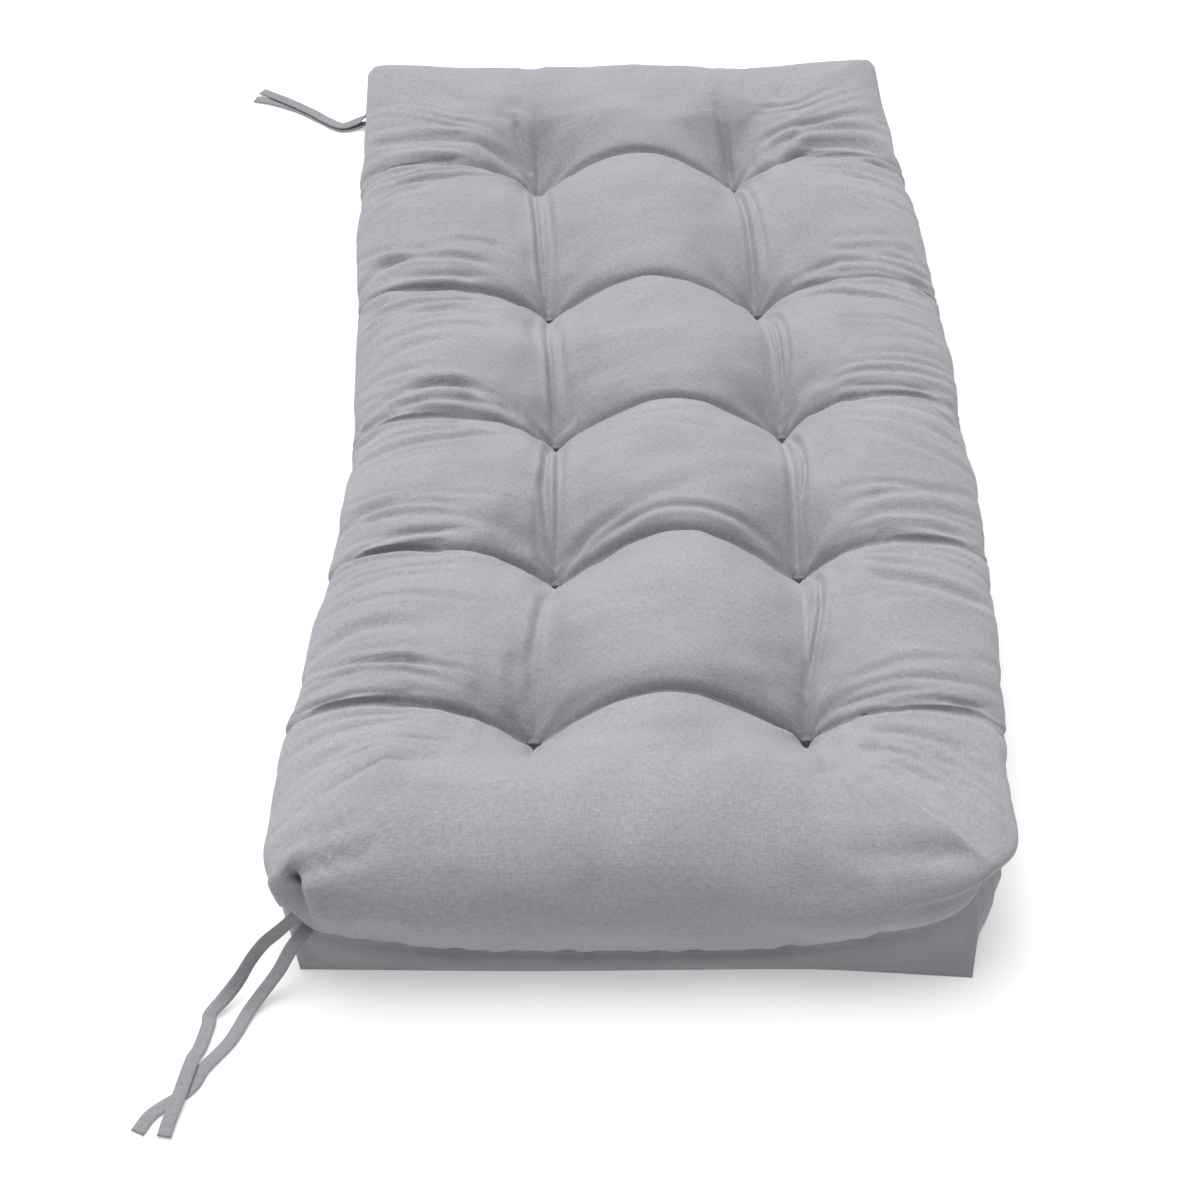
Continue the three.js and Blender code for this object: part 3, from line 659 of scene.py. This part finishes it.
class Grid:
    """The cushion's stations: a top sheet, rings down the side and a coarser underside sheet."""

    def __init__(self, steps_across, steps_along, to_seam, to_floor, under, stride):
        self.last_across = CELLS_ACROSS * steps_across
        self.last_along = CELLS_ALONG * steps_along
        across = crowded(np.arange(self.last_across + 1), steps_across, CELLS_ACROSS)
        along = crowded(np.arange(self.last_along + 1), steps_along, CELLS_ALONG)
        rim = [(i, 0) for i in range(self.last_across)]
        rim += [(self.last_across, j) for j in range(self.last_along)]
        rim += [(i, self.last_along) for i in range(self.last_across, 0, -1)]
        rim += [(0, j) for j in range(self.last_along, 0, -1)]
        self.rim = np.array(rim)
        downs = [step / to_seam for step in range(1, to_seam + 1)]
        downs += [1 + step / to_floor for step in range(1, to_floor + 1)]
        downs += [2 + step / under for step in range(1, under + 1)]
        self.downs = np.array(downs)
        top_across, top_along = (part.ravel() for part in np.meshgrid(across, along, indexing="ij"))
        rim_across = across[self.rim[:, 0]]
        rim_along = along[self.rim[:, 1]]
        rings = len(downs)
        side_across = np.tile(rim_across, rings)
        side_along = np.tile(rim_along, rings)
        side_down = np.repeat(self.downs, len(self.rim))
        inner_i = np.arange(stride, self.last_across, stride)
        inner_j = np.arange(stride, self.last_along, stride)
        under_sheet = np.meshgrid(across[inner_i], along[inner_j], indexing="ij")
        under_across, under_along = (part.ravel() for part in under_sheet)
        self.across = np.concatenate([top_across, side_across, under_across])
        self.along = np.concatenate([top_along, side_along, under_along])
        zeros = np.zeros_like(top_across)
        self.down = np.concatenate([zeros, side_down, np.full_like(under_across, UNDER_SHEET)])
        self.top_count = top_across.size
        self.side_count = side_across.size
        self.shape = (len(inner_i), len(inner_j))
        self.stride = stride

    def points(self):
        top = slice(0, self.top_count)
        side = slice(self.top_count, self.top_count + self.side_count)
        low = slice(self.top_count + self.side_count, None)
        parts = [
            top_points(self.across[top], self.along[top]),
            side_points(self.across[side], self.along[side], self.down[side]),
            under_points(self.across[low], self.along[low]),
        ]
        return np.concatenate(parts)

    def faces(self):
        sheet = np.arange(self.top_count).reshape(self.last_across + 1, self.last_along + 1)
        a, b, c, d = sheet[:-1, :-1], sheet[1:, :-1], sheet[1:, 1:], sheet[:-1, 1:]
        top = np.stack([a.ravel(), b.ravel(), c.ravel(), d.ravel()], axis=1)
        rim = sheet[self.rim[:, 0], self.rim[:, 1]]
        rings = self.top_count + np.arange(self.side_count).reshape(len(self.downs), len(self.rim))
        levels = np.vstack([rim[None], rings])
        upper, lower = levels[:-1], levels[1:]
        side = np.stack([upper, lower, np.roll(lower, -1, 1), np.roll(upper, -1, 1)], axis=2).reshape(-1, 4)
        return top.tolist() + side.tolist() + self.under_faces(levels[-1])

    def under_faces(self, last_ring):
        """The underside's coarse cells, with every rim point kept along the outer ones."""
        ring_index = {tuple(spot): number for spot, number in zip(self.rim.tolist(), last_ring.tolist())}
        inner_start = self.top_count + self.side_count
        stride = self.stride

        def corner(i, j):
            if (i, j) in ring_index:
                return ring_index[(i, j)]
            return inner_start + (i // stride - 1) * self.shape[1] + (j // stride - 1)

        faces = []
        for i in range(0, self.last_across, stride):
            for j in range(0, self.last_along, stride):
                path = [(i, j + s) for s in range(stride)]
                path += [(i + s, j + stride) for s in range(stride)]
                path += [(i + stride, j + stride - s) for s in range(stride)]
                path += [(i + stride - s, j) for s in range(stride)]
                corners = {(i, j), (i + stride, j), (i, j + stride), (i + stride, j + stride)}
                faces.append([corner(*spot) for spot in path if spot in corners or spot in ring_index])
        return faces

    def flat(self, end_first=False):
        """Each point on the cover laid flat, in millimetres. end_first puts a corner on its end's strip."""
        beside = (self.across <= 0) | (self.across >= CELLS_ACROSS)
        beyond = (self.along <= 0) | (self.along >= CELLS_ALONG)
        on_side = (self.down > 0) & beside & ~(beyond & end_first)
        on_end = (self.down > 0) & beyond & ~on_side
        sign_across = np.where(self.across < CELLS_ACROSS / 2, -1, 1)
        sign_along = np.where(self.along < CELLS_ALONG / 2, -1, 1)
        across = self.across + np.where(on_side, sign_across * self.down, 0)
        along = self.along + np.where(on_end, sign_along * self.down, 0)
        return np.stack([
            flatten(across, CELLS_ACROSS, OUTER_ACROSS, INNER_ACROSS),
            flatten(along, CELLS_ALONG, OUTER_ALONG, INNER_ALONG),
        ], axis=1)

    def end_strips(self, loop_count):
        """Which face corners belong to the strips down the near and far ends."""
        run = np.arange(len(self.rim))
        far_start = self.last_across + self.last_along
        on_end = (run < self.last_across) | ((run >= far_start) & (run < far_start + self.last_across))
        strips = np.repeat(np.tile(on_end, len(self.downs)), 4)
        start = 4 * self.last_across * self.last_along
        result = np.zeros(loop_count, bool)
        result[start:start + len(strips)] = strips
        return result


def vertex_normals(points, faces):
    quads = np.array([face[:4] for face in faces])
    span_a = points[quads[:, 2]] - points[quads[:, 0]]
    span_b = points[quads[:, 3]] - points[quads[:, 1]]
    normal = np.cross(span_a, span_b)
    total = np.zeros_like(points)
    for column in range(4):
        for axis in range(3):
            total[:, axis] += np.bincount(quads[:, column], normal[:, axis], len(points))
    return total / np.maximum(np.linalg.norm(total, axis=1, keepdims=True), TINY)


def stroke(points, nodes, width, depth, lip=0.3, taper=1.6):
    """Depth of a soft trough along a bent line, with a low lip on each side and both ends fading out."""
    start, middle, end = np.array(nodes, float).reshape(3, -1)
    control = 2 * middle - (start + end) / 2
    shares = np.linspace(0, 1, STROKE_PIECES + 1)[:, None]
    line = (1 - shares) ** 2 * start + 2 * shares * (1 - shares) * control + shares ** 2 * end
    margin = STROKE_MARGIN * width
    close = np.all((points >= line.min(0) - margin) & (points <= line.max(0) + margin), axis=1)
    spots = points[close]
    best = np.full(len(spots), FAR_AWAY)
    run = np.zeros(len(spots))
    for index in range(STROKE_PIECES):
        span = line[index + 1] - line[index]
        share = np.clip((spots - line[index]) @ span / max(span @ span, TINY), 0, 1)
        distance = np.linalg.norm(spots - line[index] - share[:, None] * span, axis=1)
        nearer = distance < best
        best = np.where(nearer, distance, best)
        run = np.where(nearer, (index + share) / STROKE_PIECES, run)
    fade = np.clip(np.sin(math.pi * np.clip(run, STROKE_END, 1 - STROKE_END)) * taper, 0, 1)
    trough = 0.5 * np.exp(-(best / width) ** 2) + 0.5 * np.exp(-1.5 * best / width)
    ridge = lip * np.exp(-((best - LIP_PLACE * width) / width) ** 2)
    result = np.zeros(len(points))
    result[close] = depth * fade * (trough - ridge)
    return result


def make_mesh(name, points, faces, smooth=True):
    mesh = bpy.data.meshes.new(name)
    mesh.from_pydata((np.asarray(points) * MM).tolist(), [], [list(face) for face in faces])
    mesh.polygons.foreach_set("use_smooth", [smooth] * len(mesh.polygons))
    mesh.update()
    obj = bpy.data.objects.new(name, mesh)
    bpy.context.scene.collection.objects.link(obj)
    return obj


def fold_relief(flat):
    depth = np.zeros(len(flat))
    for *nodes, width, fold_depth in FOLDS:
        depth += stroke(flat, nodes, width * FOLD_WIDTH_SHARE, fold_depth * FOLD_DEPTH_SHARE)
    return depth


def pleat_relief(flat):
    depth = np.zeros(len(flat))
    for *nodes, width, pleat_depth in PLEATS:
        sunk = pleat_depth * PLEAT_DEPTH_SHARE
        depth += stroke(flat, nodes, width, sunk, lip=PLEAT_LIP, taper=PLEAT_TAPER)
    return depth


def gather_relief(flat):
    """Seeded folds running over both shoulders, crowding towards the ends of the tuft rows."""
    depth = np.zeros(len(flat))
    shoulder = OUTER_ACROSS + INNER_ACROSS / 2
    lines = []
    for side in (-1, 1):
        for row in range(1, CELLS_ALONG):
            middle = flatten(np.array(float(row)), CELLS_ALONG, OUTER_ALONG, INNER_ALONG)
            for step in range(GATHERS_PER_ROW):
                spread = (step / (GATHERS_PER_ROW - 1) * 2 - 1) * GATHER_SPREAD
                spread += RNG.uniform(-GATHER_JITTER, GATHER_JITTER)
                lines.append((side, middle + spread * GATHER_FAN, middle + spread, 1.0))
        for cell in range(CELLS_ALONG):
            start = flatten(np.array(float(cell)), CELLS_ALONG, OUTER_ALONG, INNER_ALONG)
            size = OUTER_ALONG if cell in (0, CELLS_ALONG - 1) else INNER_ALONG
            for _ in range(LOOSE_PER_CELL):
                spot = start + size * RNG.uniform(*LOOSE_SPAN)
                low = spot + RNG.uniform(-LOOSE_DRIFT, LOOSE_DRIFT)
                lines.append((side, spot, low, LOOSE_DEPTH_SHARE))
    for side, top, low, share in lines:
        inner = side * (shoulder - RNG.uniform(*GATHER_INNER))
        outer = side * (shoulder + RNG.uniform(*GATHER_OUTER))
        bend = RNG.uniform(-GATHER_BEND, GATHER_BEND)
        nodes = (inner, top, (inner + outer) / 2, (top + low) / 2 + bend, outer, low)
        width = RNG.uniform(*GATHER_WIDTH)
        depth += stroke(flat, nodes, width, share * RNG.uniform(*GATHER_DEPTH), taper=GATHER_TAPER)
    return depth


def row_relief(grid, flat):
    """The sharp slit at the bottom of each tuft row."""
    depth = np.zeros(len(flat))
    for row, (left, middle, right) in enumerate(ROW_SLITS, start=1):
        line = flatten(np.array(float(row)), CELLS_ALONG, OUTER_ALONG, INNER_ALONG)
        left_end = left * SLIT_END_SHARE
        right_end = right * SLIT_END_SHARE
        depths = (left_end, left, SLIT_AT_TUFT, middle, SLIT_AT_TUFT, right, right_end)
        strength = np.interp(grid.across, SLIT_STATIONS, depths)
        depth += strength * np.exp(-((flat[:, 1] - line) / SLIT_WIDTH) ** 2)
    return depth


def tuft_relief(points):
    """Small creases drawn in towards every tuft."""
    depth = np.zeros(len(points))
    for row in range(1, CELLS_ALONG):
        for x, y in ((LEFT_X[row], LEFT_Y[row]), (RIGHT_X[row], RIGHT_Y[row])):
            away = np.hypot(points[:, 0] - x, points[:, 1] - y)
            angle = np.arctan2(points[:, 1] - y, points[:, 0] - x)
            phase = RNG.uniform(0, 2 * math.pi)
            broad = TUFT_BROAD_SHARE * np.cos(TUFT_BROAD_PUCKERS * angle + 2 * phase)
            ripple = np.cos(TUFT_PUCKERS * angle + phase) + broad
            near = (away / TUFT_REACH) * np.exp(1 - away / TUFT_REACH)
            depth += TUFT_PUCKER_DEPTH * ripple * near * (away < TUFT_CUT * TUFT_REACH)
    return depth


def seam_relief(grid, points):
    """The seam pulled in round the sides, with small puckers above and below it."""
    away = np.abs(grid.down - 1) * np.where(grid.down < 1, SIDE_STRIP, BAND_STRIP)
    run = points[:, 0] + points[:, 1] * SEAM_SLANT
    ripple = np.zeros(len(points))
    for pitch_share, height, wander, wander_length in SEAM_WAVES:
        turn = 2 * math.pi * run / (SEAM_PUCKER_PITCH * pitch_share)
        ripple += height * np.cos(turn + wander * np.sin(run / wander_length))
    groove = SEAM_GROOVE * np.exp(-(away / SEAM_GROOVE_WIDTH) ** 2)
    pucker = SEAM_PUCKER * ripple * np.exp(-(away / SEAM_PUCKER_REACH) ** 2)
    crease = np.cos(run / CRUMPLE_PITCH + CRUMPLE_WANDER * np.sin(run / CRUMPLE_WANDER_LENGTH))
    crumple = crease * np.sin(math.pi * np.clip(grid.down - 1, 0, 1))
    near_seam = (grid.down > SEAM_SPAN[0]) & (grid.down < SEAM_SPAN[1])
    return np.where(near_seam, groove + pucker + BAND_CRUMPLE * crumple, 0)


def lump_relief(flat):
    """Uneven stuffing and slack cloth: a few long waves and many short faint ones."""
    depth = np.zeros(len(flat))
    for wave_length, height, count in LUMPS:
        for _ in range(count):
            heading = RNG.uniform(0, math.pi)
            phase = RNG.uniform(0, 2 * math.pi)
            length = wave_length * RNG.uniform(*LUMP_LENGTHS)
            run = flat[:, 0] * math.cos(heading) + flat[:, 1] * math.sin(heading)
            aside = flat[:, 0] * math.sin(heading) - flat[:, 1] * math.cos(heading)
            drift = LUMP_DRIFT * np.sin(aside / LUMP_DRIFT_LENGTH + phase)
            depth += height * np.sin(2 * math.pi * (run + drift) / length + phase) / math.sqrt(count / 2)
    return depth


def upsampled(values, ratio, wrapped):
    """Values at finer stations along the first axis, on a smooth curve through the coarse ones."""
    count = len(values)
    total = count * ratio if wrapped else (count - 1) * ratio + 1
    stations = np.arange(total) / ratio
    base = np.floor(stations).astype(int)
    share = (stations - base).reshape((-1,) + (1,) * (values.ndim - 1))

    def pick(offset):
        index = (base + offset) % count if wrapped else np.clip(base + offset, 0, count - 1)
        return values[index]

    before, start, end, after = (pick(offset) for offset in (-1, 0, 1, 2))
    return between(before, start, end, after, share)


def upsampled_both_ways(values, wrapped):
    """A coarse sheet of values at the fine mesh's stations, its second way wrapped round or not."""
    first = upsampled(values, CLOTH_RATIO, False).swapaxes(0, 1)
    return upsampled(first, CLOTH_RATIO, wrapped).swapaxes(0, 1)


def puffed(fine):
    """How far the stuffing pushes a slack cover out between its tufts and seam, for every fine point."""
    grid = Grid(
        STEPS_ACROSS // CLOTH_RATIO,
        STEPS_ALONG // CLOTH_RATIO,
        STEPS_TO_SEAM // CLOTH_RATIO,
        STEPS_TO_FLOOR // CLOTH_RATIO,
        STEPS_UNDER,
        1,
    )
    rest = grid.points()
    cover = make_mesh("slack_cover", rest, grid.faces())
    row = np.abs(grid.along - np.clip(np.round(grid.along), 1, CELLS_ALONG - 1)) * INNER_ALONG
    column = np.abs(grid.across - np.clip(np.round(grid.across), 1, CELLS_ACROSS - 1)) * INNER_ACROSS
    held = np.exp(-(row / FURROW_PIN_REACH) ** 2) * ROW_HOLD * (grid.down < 1)
    inner_rows = (grid.down == 0) & (grid.along > 1) & (grid.along < CELLS_ALONG - 1)
    held = np.maximum(held, np.exp(-(column / FURROW_PIN_REACH) ** 2) * COLUMN_HOLD * inner_rows)
    at_tuft = np.exp(-(np.hypot(row, column) / TUFT_PIN_REACH) ** 2)
    held = np.maximum(held, at_tuft * (grid.down == 0))
    held = np.where(grid.down >= 1, 1, held)
    pins = cover.vertex_groups.new(name="pins")
    for index in np.nonzero(held > LEAST_PIN)[0].tolist():
        pins.add([index], float(held[index]), "REPLACE")
    cloth = cover.modifiers.new("cloth", "CLOTH")
    settings = cloth.settings
    settings.quality = 5
    settings.mass = 0.2
    settings.tension_stiffness = 12
    settings.compression_stiffness = 12
    settings.shear_stiffness = 4
    settings.bending_stiffness = 0.15
    settings.use_pressure = True
    settings.uniform_pressure_force = STUFFING_PRESSURE
    settings.shrink_min = -SLACK
    settings.vertex_group_mass = "pins"
    settings.effector_weights.gravity = 0
    cloth.collision_settings.use_collision = False
    scene = bpy.context.scene
    for step in range(1, CLOTH_FRAMES + 1):
        scene.frame_set(step)
    shaped = cover.evaluated_get(bpy.context.evaluated_depsgraph_get()).data
    spots = np.zeros(len(rest) * 3)
    shaped.vertices.foreach_get("co", spots)
    shift = spots.reshape(-1, 3) / MM - rest
    scene.frame_set(1)
    bpy.data.objects.remove(cover)
    size = np.linalg.norm(shift, axis=1, keepdims=True)
    shift = shift * PUFF_LIMIT / (PUFF_LIMIT + size)
    open_share = np.clip(np.minimum(row / OPEN_FROM_ROW, column / OPEN_FROM_COLUMN), 0, 1)
    shift[:, :2] *= np.where(grid.down == 0, open_share, 1)[:, None]
    shift[:, 2] = np.where(grid.down == 0, np.maximum(shift[:, 2], -PUFF_DIP), shift[:, 2])
    top = shift[:grid.top_count].reshape(grid.last_across + 1, grid.last_along + 1, 3)
    sides = top[:-2, 1:-1] + top[2:, 1:-1] + top[1:-1, :-2] + top[1:-1, 2:]
    top[1:-1, 1:-1] = top[1:-1, 1:-1] / 2 + sides / 8
    rim = top[grid.rim[:, 0], grid.rim[:, 1]]
    rings = shift[grid.top_count:grid.top_count + grid.side_count].reshape(len(grid.downs), -1, 3)
    rings = rings[:STEPS_TO_SEAM // CLOTH_RATIO]
    levels = np.concatenate([rim[None], rings])
    fine_top = upsampled_both_ways(top, False)
    fine_side = upsampled_both_ways(levels, True)
    result = np.zeros((len(fine.down), 3))
    result[:fine.top_count] = fine_top.reshape(-1, 3)
    start = fine.top_count
    result[start:start + STEPS_TO_SEAM * len(fine.rim)] = fine_side[1:].reshape(-1, 3)
    return result


def build_cushion():
    grid = Grid(STEPS_ACROSS, STEPS_ALONG, STEPS_TO_SEAM, STEPS_TO_FLOOR, STEPS_UNDER, UNDER_STRIDE)
    points = grid.points()
    points = points + puffed(grid)
    faces = grid.faces()
    flat = grid.flat()
    shown = np.clip(grid.down, 0, 1)
    fading = np.where(grid.down < 1, (1 - shown) ** RELIEF_FADE, 0)
    on_top = grid.down == 0
    from_side = np.minimum(grid.across, CELLS_ACROSS - grid.across) * OUTER_ACROSS
    from_end = np.minimum(grid.along, CELLS_ALONG - grid.along) * OUTER_ALONG
    at_corner = 1 - ease(np.maximum(from_side, from_end) / CORNER_CALM)
    fading = fading * (1 - at_corner * ease(grid.down / CORNER_CALM_DOWN))
    depth = (fold_relief(flat) + gather_relief(flat)) * fading
    slits = row_relief(grid, flat)
    depth += slits * fading * ~on_top
    sink = (pleat_relief(flat) + slits + tuft_relief(points)) * on_top
    from_column = np.abs(np.abs(flat[:, 0]) - INNER_ACROSS / 2)
    depth += lump_relief(flat) * fading * ease(from_column / COLUMN_CALM)
    depth += seam_relief(grid, points)
    for *nodes, width, fold_depth in CORNER_FOLDS:
        depth += stroke(points, nodes, width, fold_depth, lip=CORNER_FOLD_LIP)
    points = points - vertex_normals(points, faces) * depth[:, None]
    points[:, 2] -= sink
    points[:, 2] = np.maximum(points[:, 2], 0)
    cushion = make_mesh("cushion_cover", points, faces)
    layer = cushion.data.uv_layers.new(name="cover")
    corners = np.zeros(len(cushion.data.loops), int)
    cushion.data.loops.foreach_get("vertex_index", corners)
    on_end = grid.end_strips(len(corners))[:, None]
    spots = np.where(on_end, grid.flat(end_first=True)[corners], flat[corners])
    layer.data.foreach_set("uv", (spots * MM).ravel())
    return cushion


def build_tie(name, route):
    """A flat tape swept along its route. Returns the piece and its middle line."""
    stations = np.array(route, float)
    count = len(stations)
    shares = np.linspace(0, count - 1, (count - 1) * TIE_STEPS + 1)
    middle = np.stack([curve(shares, stations[:, axis]) for axis in range(3)], axis=1)
    turn = np.radians(curve(shares, stations[:, 3]))[:, None]
    forward = np.gradient(middle, axis=0)
    forward /= np.linalg.norm(forward, axis=1, keepdims=True)
    level = np.cross(forward, (0, 0, 1))
    level /= np.linalg.norm(level, axis=1, keepdims=True)
    rise = np.cross(level, forward)
    wide = level * np.cos(turn) + rise * np.sin(turn)
    thick = rise * np.cos(turn) - level * np.sin(turn)
    half = TIE_WIDTH / 2
    thin = TIE_THICKNESS / 2
    points = []
    for spot, side, face in zip(middle, wide, thick):
        points += [spot + side * half * s + face * thin * f for s, f in TIE_SECTION]
    sides = len(TIE_SECTION)
    faces = [list(range(sides))]
    for step in range(len(middle) - 1):
        for side in range(sides):
            here = step * sides + side
            following = step * sides + (side + 1) % sides
            faces.append([here, here + sides, following + sides, following])
    faces.append([(len(middle) - 1) * sides + s for s in reversed(range(sides))])
    return make_mesh(name + "_tape", points, faces), middle


def build_knot(node):
    """A stitched bar of thread strands laid over the tuft, as wide as its solid."""
    low, high = (np.array(corner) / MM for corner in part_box(node))
    centre = (low + high) / 2
    half = (high - low) / 2
    middle = (KNOT_STRANDS - 1) / 2
    points = []
    faces = []
    for strand in range(KNOT_STRANDS):
        offset = (strand - middle) / KNOT_STRANDS * 2 * half[1] * KNOT_FILL
        start = len(points)
        for step in range(KNOT_STEPS + 1):
            share = step / KNOT_STEPS * 2 - 1
            x = share * half[0] * (1 - KNOT_STAGGER * abs(strand - middle))
            z = half[2] * (KNOT_RISE - KNOT_DROP * abs(share) ** KNOT_BEND)
            radius = KNOT_RADIUS * (1 - KNOT_TAPER * abs(share) ** 4)
            for side in range(KNOT_SIDES):
                angle = 2 * math.pi * side / KNOT_SIDES
                y = offset * (1 - KNOT_PINCH * share ** 2) + radius * math.cos(angle)
                points.append(centre + (x, y, z + radius * math.sin(angle)))
        for step in range(KNOT_STEPS):
            for side in range(KNOT_SIDES):
                here = start + step * KNOT_SIDES + side
                following = start + step * KNOT_SIDES + (side + 1) % KNOT_SIDES
                faces.append([here, following, following + KNOT_SIDES, here + KNOT_SIDES])
        faces.append([start + side for side in reversed(range(KNOT_SIDES))])
        faces.append([start + KNOT_STEPS * KNOT_SIDES + side for side in range(KNOT_SIDES)])
    return make_mesh(node + "_thread", points, faces)


def new_material(name, colour, roughness):
    material = bpy.data.materials.new(name)
    material.use_nodes = True
    shader = material.node_tree.nodes["Principled BSDF"]
    shader.inputs["Base Color"].default_value = (*colour, 1)
    shader.inputs["Roughness"].default_value = roughness
    return material, material.node_tree, shader


def cloth_material(name, colour, thread_mm, bump_mm, cover_map=None):
    """Matte plain weave: crossed uneven threads, lint and soft patches of lighter and darker cloth."""
    material, tree, shader = new_material(name, colour, 0.95)
    shader.inputs["Sheen Weight"].default_value = 0.15
    shader.inputs["Sheen Roughness"].default_value = 0.6
    shader.inputs["Specular IOR Level"].default_value = 0.15
    add = tree.nodes.new
    link = tree.links.new
    if cover_map:
        coords = add("ShaderNodeUVMap")
        coords.uv_map = cover_map
        spot = coords.outputs["UV"]
    else:
        coords = add("ShaderNodeTexCoord")
        spot = coords.outputs["Object"]

    def noise(stretch, detail):
        scaled = add("ShaderNodeVectorMath")
        scaled.operation = "MULTIPLY"
        scaled.inputs[1].default_value = stretch
        link(spot, scaled.inputs[0])
        texture = add("ShaderNodeTexNoise")
        texture.inputs["Scale"].default_value = 1
        texture.inputs["Detail"].default_value = detail
        link(scaled.outputs["Vector"], texture.inputs["Vector"])
        return texture.outputs["Fac"]

    def ranged(value, low, high, out_low, out_high):
        node = add("ShaderNodeMapRange")
        for socket, number in zip(range(1, 5), (low, high, out_low, out_high)):
            node.inputs[socket].default_value = number
        link(value, node.inputs[0])
        return node.outputs["Result"]

    def combined(operation, first, second):
        node = add("ShaderNodeMath")
        node.operation = operation
        link(first, node.inputs[0])
        link(second, node.inputs[1])
        return node.outputs["Value"]

    across = 1 / (thread_mm * MM)
    weft = noise((across / THREAD_RUN, across, across), 2)
    warp = noise((across, across / THREAD_RUN, across), 2)
    streaks = noise(STREAK_SCALE, 3)
    patches = noise(PATCH_SCALE, 5)
    lint = noise(LINT_SCALE, 0)
    threads = combined("ADD", weft, warp)
    tone = combined("MULTIPLY", ranged(threads, *THREAD_TONE), ranged(streaks, *STREAK_TONE))
    tone = combined("MULTIPLY", tone, ranged(patches, *PATCH_TONE))
    tone = combined("ADD", tone, ranged(lint, *LINT_TONE))
    shade = add("ShaderNodeVectorMath")
    shade.operation = "MULTIPLY"
    shade.inputs[1].default_value = colour
    link(tone, shade.inputs[0])
    link(shade.outputs["Vector"], shader.inputs["Base Color"])
    bump = add("ShaderNodeBump")
    bump.inputs["Strength"].default_value = 0.6
    bump.inputs["Distance"].default_value = bump_mm * MM
    link(threads, bump.inputs["Height"])
    link(bump.outputs["Normal"], shader.inputs["Normal"])
    return material


def build_camera():
    camera = bpy.data.cameras.new("camera")
    obj = bpy.data.objects.new("camera", camera)
    bpy.context.scene.collection.objects.link(obj)
    flat = math.cos(CAMERA_PITCH)
    forward = Vector((math.sin(CAMERA_YAW) * flat, math.cos(CAMERA_YAW) * flat, -math.sin(CAMERA_PITCH)))
    right = forward.cross(Vector((0, 0, 1))).normalized()
    up = right.cross(forward)
    tilted = right * math.cos(CAMERA_ROLL) + up * math.sin(CAMERA_ROLL)
    up = up * math.cos(CAMERA_ROLL) - right * math.sin(CAMERA_ROLL)
    axes = Matrix((tilted, up, -forward)).transposed().to_4x4()
    obj.matrix_world = Matrix.Translation(Vector(CAMERA_PLACE) * MM) @ axes
    camera.sensor_width = SENSOR_MM
    camera.lens = FOCAL_PIXELS / IMAGE_PIXELS * SENSOR_MM
    bpy.context.scene.camera = obj


def build_stage():
    corners = [(x * FLOOR_HALF, y * FLOOR_HALF, FLOOR_DROP) for x, y in ((-1, -1), (1, -1), (1, 1), (-1, 1))]
    floor = make_mesh("floor", corners, [[0, 1, 2, 3]], smooth=False)
    material, _, shader = new_material("pale_floor", (FLOOR_GREY, FLOOR_GREY, FLOOR_GREY), 0.9)
    shader.inputs["Emission Color"].default_value = (1, 1, 1, 1)
    shader.inputs["Emission Strength"].default_value = FLOOR_GLOW
    floor.data.materials.append(material)
    world = bpy.data.worlds.new("studio")
    bpy.context.scene.world = world
    world.use_nodes = True
    background = world.node_tree.nodes["Background"]
    background.inputs["Color"].default_value = (1, 1, 1, 1)
    background.inputs["Strength"].default_value = SKY_STRENGTH
    sun = bpy.data.lights.new("softbox", "SUN")
    sun.energy = SUN_STRENGTH
    sun.angle = SUN_SPREAD
    lamp = bpy.data.objects.new("softbox", sun)
    bpy.context.scene.collection.objects.link(lamp)
    lamp.rotation_euler = SUN_TURN
    bpy.context.scene.view_settings.view_transform = "Standard"


def main():
    build_camera()
    cover_cloth = cloth_material("cover_cloth", CLOTH, thread_mm=1.1, bump_mm=0.5, cover_map="cover")
    tape_cloth = cloth_material("tie_tape", TAPE, thread_mm=0.8, bump_mm=0.3)
    thread_cloth = cloth_material("tuft_thread", THREAD, thread_mm=0.6, bump_mm=0.2)
    for name, route in TIES.items():
        tape, middle = build_tie(name, route)
        tape.data.materials.append(tape_cloth)
        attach(tape, BODY)
        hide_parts(name)
    cushion = build_cushion()
    cushion.data.materials.append(cover_cloth)
    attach(cushion, BODY)
    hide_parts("cushion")
    for side in ("left", "right"):
        for row in range(1, CELLS_ALONG):
            node = f"tuft_{side}_{row}"
            knot = build_knot(node)
            knot.data.materials.append(thread_cloth)
            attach(knot, BODY)
            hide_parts(node)
    build_stage()


main()
